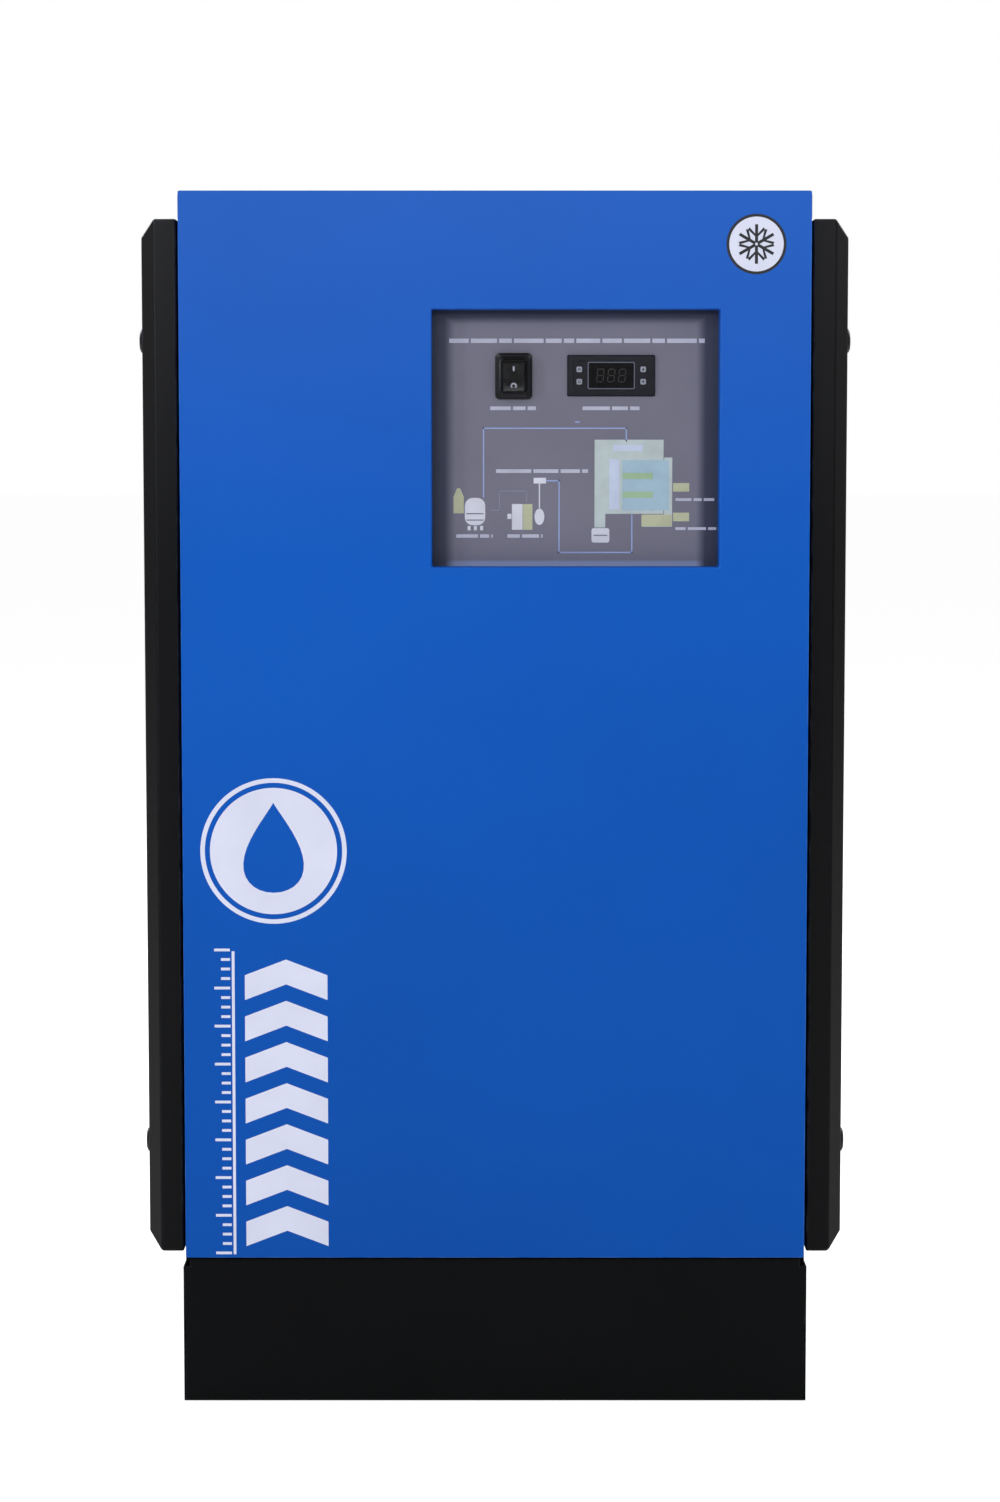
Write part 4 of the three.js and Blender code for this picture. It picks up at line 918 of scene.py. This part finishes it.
def decals():
    x, z = -195 * MM, 496 * MM
    sticker("round_mark", WHITE, [], 1, [(x, z, 60.5 * MM, 64.5 * MM)])
    disc = bmesh.new()
    add_prism(disc, circle(x, z, 56 * MM, 96), "y", FRONT_Y - STICKER, FRONT_Y)
    piece = make("round_mark_disc", disc, WHITE, "key_plastic", bevel=0, smooth=False)
    hole = bmesh.new()
    add_prism(hole, drop_outline(x, z + 3 * MM, 40 * MM), "y", FRONT_Y - 5 * MM, FRONT_Y + 5 * MM)
    carve(piece, hole, smooth=False)
    low, high, count = 135 * MM, 407 * MM, 7
    x0, x1 = -221 * MM, -148 * MM
    middle, rise = (x0 + x1) / 2, 14 * MM
    pitch = (high - rise - low) / count
    thick = 0.6 * pitch
    chevrons = []
    for i in range(count):
        z0 = low + (i + 0.2) * pitch
        lower = [(x0, z0), (middle, z0 + rise), (x1, z0)]
        chevrons.append(lower + [(px, pz + thick) for px, pz in reversed(lower)])
    sticker("chevrons", WHITE, chevrons)
    ticks = [rectangle((-232.5 * MM, low), (-230 * MM, high))]
    spacing, number = 8.5 * MM, 33
    for i in range(number):
        z0 = low + i * spacing
        reach = 14 if i % 4 == 0 else 8
        ticks.append(rectangle(((-234 - reach) * MM, z0), (-234 * MM, z0 + 2.4 * MM)))
    sticker("tick_scale", WHITE, ticks)
    bx, bz = 227 * MM, 1026 * MM
    sticker("badge_edge", BLACK_INK, [circle(bx, bz, 26 * MM, 72)])
    sticker("badge_face", WHITE, [circle(bx, bz, 23.6 * MM, 72)], 2)
    arms = []
    for i in range(6):
        a = math.pi / 2 + i * math.pi / 3
        along, across = Vector((math.cos(a), math.sin(a))), Vector((-math.sin(a), math.cos(a)))

        def spot(u, v):
            p = Vector((bx, bz)) + along * u * MM + across * v * MM
            return (p.x, p.y)

        arms.append([spot(1.2, -1.3), spot(17, -1.3), spot(17, 1.3), spot(1.2, 1.3)])
        for side in (-1, 1):
            barb = ((9, 1.3), (14.4, 6.2), (12.4, 7.4), (6.6, 1.3))
            arms.append([spot(u, side * v) for u, v in barb])
    sticker("badge_flake", BLACK_INK, arms, 3)


# ---- fasteners


def screw(bm, x, y, z, axis, sign, radius=4.5 * MM):
    """A domed button head with a hexagon socket, standing out of a face along the axis."""
    top = 2.4 * MM
    profile = [(0, 0), (radius, 0), (radius, 0.35 * top), (0.86 * radius, 0.75 * top), (0.6 * radius, top)]
    profile += [(0.42 * radius, top), (0.4 * radius, 0.45 * top), (0, 0.45 * top)]
    add_lathe(bm, [(r, sign * h) for r, h in profile], axis, (x, y, z), 24)


# ---- top and rear

REAR_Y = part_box("rear_panel")[1][1]


def top_cover():
    (x0, y0, z0), (x1, y1, z1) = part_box("top_cover")
    bm = bmesh.new()
    loop = rectangle((x0, y0), (x1, y1))
    add_face(bm, [(x, y, z1) for x, y in loop])
    quad_strip(bm, [(x, y, z1) for x, y in loop], [(x, y, z0) for x, y in loop])
    sheet_metal("top_cover_pan", bm, (0, 0, 1), BLACK, "black_paint", ["top_cover"])


def rear():
    keep("rear_panel", BLACK, 0.5 * MM, 1)
    screws = bmesh.new()
    for x in (-262 * MM, 262 * MM):
        for z in (165, 380, 600, 820, 1030):
            screw(screws, x, REAR_Y, z * MM, "y", 1)
    make("rear_panel_screws", screws, ZINC, "zinc_steel", bevel=0)
    top = bmesh.new()
    z = sum(v[2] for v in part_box("top_cover")) / 2
    for x in (-230, -80, 80, 230):
        screw(top, x * MM, REAR_Y, z, "y", 1, 3.6 * MM)
    make("top_cover_screws", top, ZINC, "zinc_steel", bevel=0)


def fan_guard():
    (x0, y0, z0), (x1, y1, z1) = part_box("fan_guard")
    cx, cz, r = (x0 + x1) / 2, (z0 + z1) / 2, (x1 - x0) / 2
    wire = 1.9 * MM
    mid = y1 - wire
    bm = bmesh.new()

    def hoop(radius, y, thick):
        add_lathe(bm, circle(radius, 0, thick, 8), "y", (cx, y, cz), 72)

    radius = 34 * MM
    while radius < r - 8 * MM:
        hoop(radius, mid + 3 * MM, wire)
        radius += 11.5 * MM
    hoop(r - 5 * MM, mid, wire * 1.3)
    for i in range(4):
        a = math.pi / 4 + i * math.pi / 2
        d, n = Vector((math.cos(a), 0, math.sin(a))), Vector((-math.sin(a), 0, math.cos(a)))
        for offset in (-5 * MM, 5 * MM):
            start = Vector((cx, mid, cz)) + d * (30 * MM) + n * offset
            end = Vector((cx, mid, cz)) + d * (r - 5 * MM) + n * offset
            spoke = bmesh.ops.create_cone(
                bm, cap_ends=True, segments=8, radius1=wire, radius2=wire, depth=(end - start).length
            )
            turn = (end - start).to_track_quat("Z", "Y").to_matrix().to_4x4()
            bmesh.ops.transform(bm, matrix=Matrix.Translation((start + end) / 2) @ turn, verts=spoke["verts"])
        eye = Vector((cx, 0, cz)) + d * (r - 0.5 * MM)
        tab = ring_profile(3.4 * MM, 7 * MM, y0 - REAR_Y, y0 - REAR_Y + 2.2 * MM)
        add_lathe(bm, tab, "y", (eye.x, REAR_Y, eye.z), 28)
        screw(bm, eye.x, REAR_Y + 2.6 * MM, eye.z, "y", 1, 4.2 * MM)
    hub = [(0, mid - REAR_Y), (36 * MM, mid - REAR_Y), (36 * MM, 6 * MM), (0, 7 * MM)]
    add_lathe(bm, hub, "y", (cx, REAR_Y, cz), 64)
    make("fan_guard_wires", bm, BLACK, "black_paint", replaces=["fan_guard"], bevel=0)


def air_pipe(node):
    (x0, y0, z0), (x1, y1, z1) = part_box(node)
    cx, cz = (x0 + x1) / 2, (z0 + z1) / 2
    hex_y = REAR_Y + 6 * MM
    corner = 34 * MM
    turns, pitch, depth = 8, 2.3 * MM, 1.2 * MM
    bore = 20.5 * MM
    profile = [(bore + 1.5 * MM, y1)]
    for i in range(turns):
        y = y1 - 1.5 * MM - i * pitch
        profile += [(bore, y), (bore + depth, y - pitch / 2)]
    profile += [(bore - 0.3 * MM, y1 - 3 * MM - turns * pitch), (bore - 0.3 * MM, y0)]
    profile += [(32 * MM, y0), (32 * MM, y0 + 8 * MM), (24 * MM, y0 + 8 * MM), (24 * MM, hex_y - 2 * MM)]
    profile += [(28.2 * MM, hex_y - 2 * MM), (28.2 * MM, y1)]
    at = (cx, 0, cz)
    turned(node + "_tube", profile, "y", at, 72, BRASS, "brass", replaces=[node], bevel=0.3 * MM)
    nut = ring_profile(28.4 * MM, corner, hex_y, y1 - 0.6 * MM)
    piece = turned(node + "_hexagon", nut, "y", at, 6, BRASS, "brass", math.pi / 6, bevel=1.0 * MM)
    bevelled(piece, 0.2 * MM, 1)
    seal = ring_profile(24.3 * MM, 31 * MM, REAR_Y + 0.1 * MM, REAR_Y + 3.2 * MM)
    turned(node + "_grommet", seal, "y", at, 64, RUBBER, "rubber", bevel=0.8 * MM)


def gland():
    (x0, y0, z0), (x1, y1, z1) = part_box("cable_gland")
    cx, cz = (x0 + x1) / 2, (z0 + z1) / 2
    bm = bmesh.new()
    profile = [(6.5 * MM, y0), (12.5 * MM, y0), (12.5 * MM, REAR_Y + 7 * MM), (15.4 * MM, REAR_Y + 7.3 * MM)]
    profile += [(15.4 * MM, REAR_Y + 21 * MM), (13.6 * MM, y1 - 3 * MM), (10 * MM, y1), (6.5 * MM, y1)]
    add_lathe(bm, profile, "y", (cx, 0, cz), 48)
    for i in range(16):
        a = 2 * math.pi * i / 16
        x, z = cx + 15.2 * MM * math.cos(a), cz + 15.2 * MM * math.sin(a)
        rib = [(0, 0), (0.9 * MM, 0), (0.9 * MM, 11 * MM), (0, 11 * MM)]
        add_lathe(bm, rib, "y", (x, REAR_Y + 8.5 * MM, z), 10)
    make("cable_gland_body", bm, MOULDED, "black_plastic", replaces=["cable_gland"], bevel=0.3 * MM)
    at = (cx, 0, cz)
    nut = ring_profile(12.7 * MM, 17 * MM, REAR_Y + 0.3 * MM, REAR_Y + 6.8 * MM)
    turned("cable_gland_hexagon", nut, "y", at, 6, MOULDED, "black_plastic", bevel=0.5 * MM)
    seal = ring_profile(2.5 * MM, 6.7 * MM, y1 - 10 * MM, y1 - 1 * MM)
    turned("cable_gland_seal", seal, "y", at, 32, RUBBER, "rubber", bevel=0.5 * MM)


def drain_outlet():
    (x0, y0, z0), (x1, y1, z1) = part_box("drain_outlet")
    at = ((x0 + x1) / 2, 0, (z0 + z1) / 2)
    profile = [(3.5 * MM, y0), (7 * MM, y0), (7 * MM, REAR_Y + 14 * MM), (6 * MM, REAR_Y + 15 * MM)]
    barb = REAR_Y + 15 * MM
    while barb < y1 - 5 * MM:
        profile += [(8 * MM, barb + 0.4 * MM), (6.2 * MM, barb + 5 * MM)]
        barb += 5 * MM
    profile += [(5.2 * MM, y1), (3.5 * MM, y1)]
    more = {"replaces": ["drain_outlet"], "bevel": 0.2 * MM}
    turned("drain_outlet_barb", profile, "y", at, 40, BRASS, "brass", **more)
    nut = ring_profile(7.1 * MM, 11 * MM, REAR_Y + 0.3 * MM, REAR_Y + 8.3 * MM)
    turned("drain_outlet_hexagon", nut, "y", at, 6, BRASS, "brass", bevel=0.5 * MM)


# ---- inside


def compressor():
    (x0, y0, z0), (x1, y1, z1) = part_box("compressor")
    cx, cy = (x0 + x1) / 2, (y0 + y1) / 2
    r = 95 * MM
    wall, belt, dome = 0.966 * r, 0.99 * r, 52 * MM
    seam = z0 + 0.45 * (z1 - z0)
    profile = [(0, z0 + 6 * MM), (0.5 * r, z0 + 6 * MM), (0.7 * r, z0 + 9 * MM), (0.86 * r, z0 + 16 * MM)]
    profile += [(0.94 * r, z0 + 26 * MM), (wall, z0 + 38 * MM), (wall, seam - 3 * MM)]
    profile += [(belt, seam - 2.4 * MM), (belt, seam + 2.4 * MM), (wall, seam + 3 * MM), (wall, z1 - dome)]
    for i in range(1, 9):
        a = math.radians(90 * i / 8)
        profile.append((wall * math.cos(a) if i < 8 else 0, z1 - dome + dome * math.sin(a)))
    more = {"replaces": ["compressor"], "bevel": 0.8 * MM}
    turned("compressor_shell", profile, "z", (cx, cy, 0), 72, ENAMEL, "shell_paint", **more)
    feet = bmesh.new()
    add_prism(feet, rounded((x0, cy - 93 * MM), (x1, cy + 93 * MM), 14 * MM), "z", z0, z0 + 5 * MM)
    make("compressor_foot_plate", feet, ENAMEL, "shell_paint", bevel=1 * MM)
    bolts = bmesh.new()
    for i in range(4):
        (bx0, by0, _), (bx1, by1, _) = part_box(f"compressor_mount_{i + 1}")
        at = ((bx0 + bx1) / 2, (by0 + by1) / 2, z0 + 5.3 * MM)
        add_lathe(bolts, ring_profile(5.2 * MM, 11 * MM, 0, 1.6 * MM), "z", at, 32)
        add_lathe(bolts, [(0, 1.6 * MM), (8 * MM, 1.6 * MM), (8 * MM, 8 * MM), (0, 8 * MM)], "z", at, 6)
    make("compressor_bolts", bolts, ZINC, "zinc_steel", bevel=0.5 * MM)


FIN_PITCH = 5 * MM


def condenser():
    """Fins and tubes between two end plates, in a frame on two feet."""
    (x0, y0, z0), (x1, y1, z1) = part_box("condenser_coil")
    low = z0 + 17 * MM
    fins = bmesh.new()
    x = x0 + 5 * MM
    while x < x1 - 5 * MM:
        add_box(fins, (x, y0 + 3 * MM, low + 3 * MM), (x + 0.5 * MM, y1 - 1 * MM, z1 - 3 * MM))
        x += FIN_PITCH
    make("condenser_fins", fins, FINS, "aluminium", replaces=["condenser_coil"], bevel=0)
    plates = bmesh.new()
    for a, b in ((x0, x0 + 2 * MM), (x1 - 2 * MM, x1)):
        add_box(plates, (a, y0, low), (b, y1, z1))
    for a, b in ((x0, x0 + 30 * MM), (x1 - 30 * MM, x1)):
        add_box(plates, (a, y0 + 2 * MM, z0), (b, y0 + 22 * MM, low + 2 * MM))
    for z in (low, z1 - 3 * MM):
        add_box(plates, (x0 + 2.2 * MM, y0 + 0.5 * MM, z), (x1 - 2.2 * MM, y1, z + 2.4 * MM))
    make("condenser_frame", plates, ZINC, "zinc_steel", bevel=0.6 * MM)
    tubes = bmesh.new()
    rows, radius = 14, 4.8 * MM
    step = (z1 - low - 40 * MM) / (rows - 1)
    long = x1 - x0 - 4.4 * MM
    for y in (y0 + 18 * MM, y0 + 42 * MM):
        for i in range(rows):
            at = (x0 + 2.2 * MM, y, low + 20 * MM + i * step)
            add_lathe(tubes, [(0, 0), (radius, 0), (radius, long), (0, long)], "x", at, 16)
    make("condenser_tubes", tubes, COPPER, "copper", bevel=0)


def inside():
    for node in frame["nodes"]:
        if node.endswith("_post"):
            keep(node, PLINTH_BLACK, 0.6 * MM, 1)
    for node in ("electrical_box", "exchanger_left_leg", "exchanger_right_leg", "fan_shroud"):
        keep(node, ZINC, 0.5 * MM, 1)
    keep("control_plate", PLATE, 0)
    keep("compressor_terminal_cover", MOULDED, 3 * MM, 3)
    for i in range(4):
        keep(f"compressor_mount_{i + 1}", RUBBER, 0.6 * MM, 1)
    keep("start_capacitor", STEEL, 1 * MM)
    keep("fan_motor", ENAMEL, 1 * MM)
    keep("fan_rotor", BLACK, 0.4 * MM, 1)
    keep("heat_exchanger", FOAM, 3 * MM, 3)
    for node in ("discharge_line", "suction_line", "liquid_line", "injection_line"):
        keep_round(node, COPPER)
    keep("filter_drier", COPPER, 0.8 * MM)
    for node in ("expansion_valve", "hot_gas_bypass_valve", "pressure_switch"):
        keep(node, BRASS, 0.4 * MM, 1)
    keep("drain_ball_valve", BRASS, 0.5 * MM, 1)
    keep("drain_valve_lever", STEEL, 0.4 * MM, 1)
    keep("drain_solenoid_valve", BRASS, 0.8 * MM, 2)
    keep_round("drain_hose", HOSE)


# ---- stage

WORLD_LIGHT = 0.3
FLOOR_GLOW = 0.7
FLOOR_HALF = 60.0
FLOOR_Z = -0.5 * MM
COOL = (0.9, 0.94, 1.0)
LIGHTS = (  # name, place, target, size, watts, and a colour unless it is white
    ("key", (-1.7, -4.4, 2.9), (0, -0.3, 0.6), (1.8, 1.8), 52),
    ("fill", (2.0, -4.3, 2.4), (0, -0.3, 0.6), (1.8, 1.8), 35),
    ("front_top", (-0.4, -4.4, 1.6), (0, -0.3, 1.0), (2.2, 0.4), 17, COOL),
    ("left_strip", (-3.3, -3.1, 1.45), (0, -0.3, 0.95), (0.5, 0.7), 30, COOL),
    ("top", (0, 0.3, 4.0), (0, 0, 0.5), (3.0, 3.0), 60),
    ("rear_left", (-3.0, 3.4, 2.6), (0, 0, 0.5), (2.0, 2.0), 66),
    ("rear_right", (3.2, 3.0, 2.4), (0, 0, 0.5), (2.0, 2.0), 52),
)
CAMERA_PLACE = (0.0045, FRONT_Y - 3.031, 0.8497)
CAMERA_LENS = 83.0
CAMERA_TILT = 5.0  # degrees below the horizontal


def area_light(name, place, target, size, power, color=(1, 1, 1)):
    data = bpy.data.lights.new(name, "AREA")
    data.shape = "RECTANGLE"
    data.size, data.size_y = size
    data.energy = power
    data.color = color
    light = bpy.data.objects.new(name, data)
    bpy.context.scene.collection.objects.link(light)
    light.location = place
    light.rotation_euler = (Vector(target) - Vector(place)).to_track_quat("-Z", "Y").to_euler()


def stage():
    bm = bmesh.new()
    bmesh.ops.create_grid(bm, x_segments=1, y_segments=1, size=FLOOR_HALF)
    mesh = bpy.data.meshes.new("floor")
    bm.to_mesh(mesh)
    bm.free()
    floor = link_object("floor", mesh)
    floor.location = (0, 0, FLOOR_Z)
    paper = Nodes(bpy.data.materials.new("pale_floor"))
    tone = paper.mix(paper.noise(2.0), (0.93, 0.93, 0.93, 1), (0.95, 0.95, 0.95, 1))
    paper.link(tone, paper.shader.inputs["Base Color"])
    paper.shader.inputs["Roughness"].default_value = 0.9
    paper.shader.inputs["Specular IOR Level"].default_value = 0.1
    paper.shader.inputs["Emission Color"].default_value = (1.0, 1.0, 1.0, 1.0)
    glow = paper.add("Math", operation="MULTIPLY")
    paper.link(paper.add("LightPath").outputs["Is Camera Ray"], glow.inputs[0])
    glow.inputs[1].default_value = FLOOR_GLOW
    paper.link(glow.outputs["Value"], paper.shader.inputs["Emission Strength"])
    floor.data.materials.append(paper.material)

    world = bpy.data.worlds.new("studio")
    bpy.context.scene.world = world
    world.use_nodes = True
    tree = world.node_tree
    glow = tree.nodes["Background"]
    glow.inputs["Strength"].default_value = WORLD_LIGHT
    paper_white = tree.nodes.new("ShaderNodeBackground")
    paper_white.inputs["Strength"].default_value = 1.0
    for background in (glow, paper_white):
        background.inputs["Color"].default_value = (1.0, 1.0, 1.0, 1.0)
    seen = tree.nodes.new("ShaderNodeLightPath").outputs["Is Camera Ray"]
    choose = tree.nodes.new("ShaderNodeMixShader")
    tree.links.new(seen, choose.inputs["Fac"])
    tree.links.new(glow.outputs[0], choose.inputs[1])
    tree.links.new(paper_white.outputs[0], choose.inputs[2])
    tree.links.new(choose.outputs[0], tree.nodes["World Output"].inputs["Surface"])

    for light in LIGHTS:
        area_light(*light)

    data = bpy.data.cameras.new("camera")
    data.lens = CAMERA_LENS
    data.sensor_width = 36.0
    camera = bpy.data.objects.new("camera", data)
    bpy.context.scene.collection.objects.link(camera)
    camera.location = CAMERA_PLACE
    camera.rotation_euler = (math.radians(90 - CAMERA_TILT), 0, 0)
    bpy.context.scene.camera = camera
    bpy.context.scene.view_settings.view_transform = "Standard"


# ---- assembly

front_panel()
for cover_side, cover_sign in (("right", 1), ("left", -1)):
    side_cover(cover_side, cover_sign)
    for latch_level in ("upper", "lower"):
        latch(cover_side, latch_level, cover_sign)
plinth()
plate_print()
switch()
controller()
for key_name in ("set", "power", "up", "down"):
    key(f"key_{key_name}", f"{key_name}_key")
decals()
top_cover()
rear()
fan_guard()
for pipe_node in ("air_inlet_pipe", "air_outlet_pipe"):
    air_pipe(pipe_node)
gland()
drain_outlet()
compressor()
condenser()
inside()
stage()

bpy.context.view_layer.update()
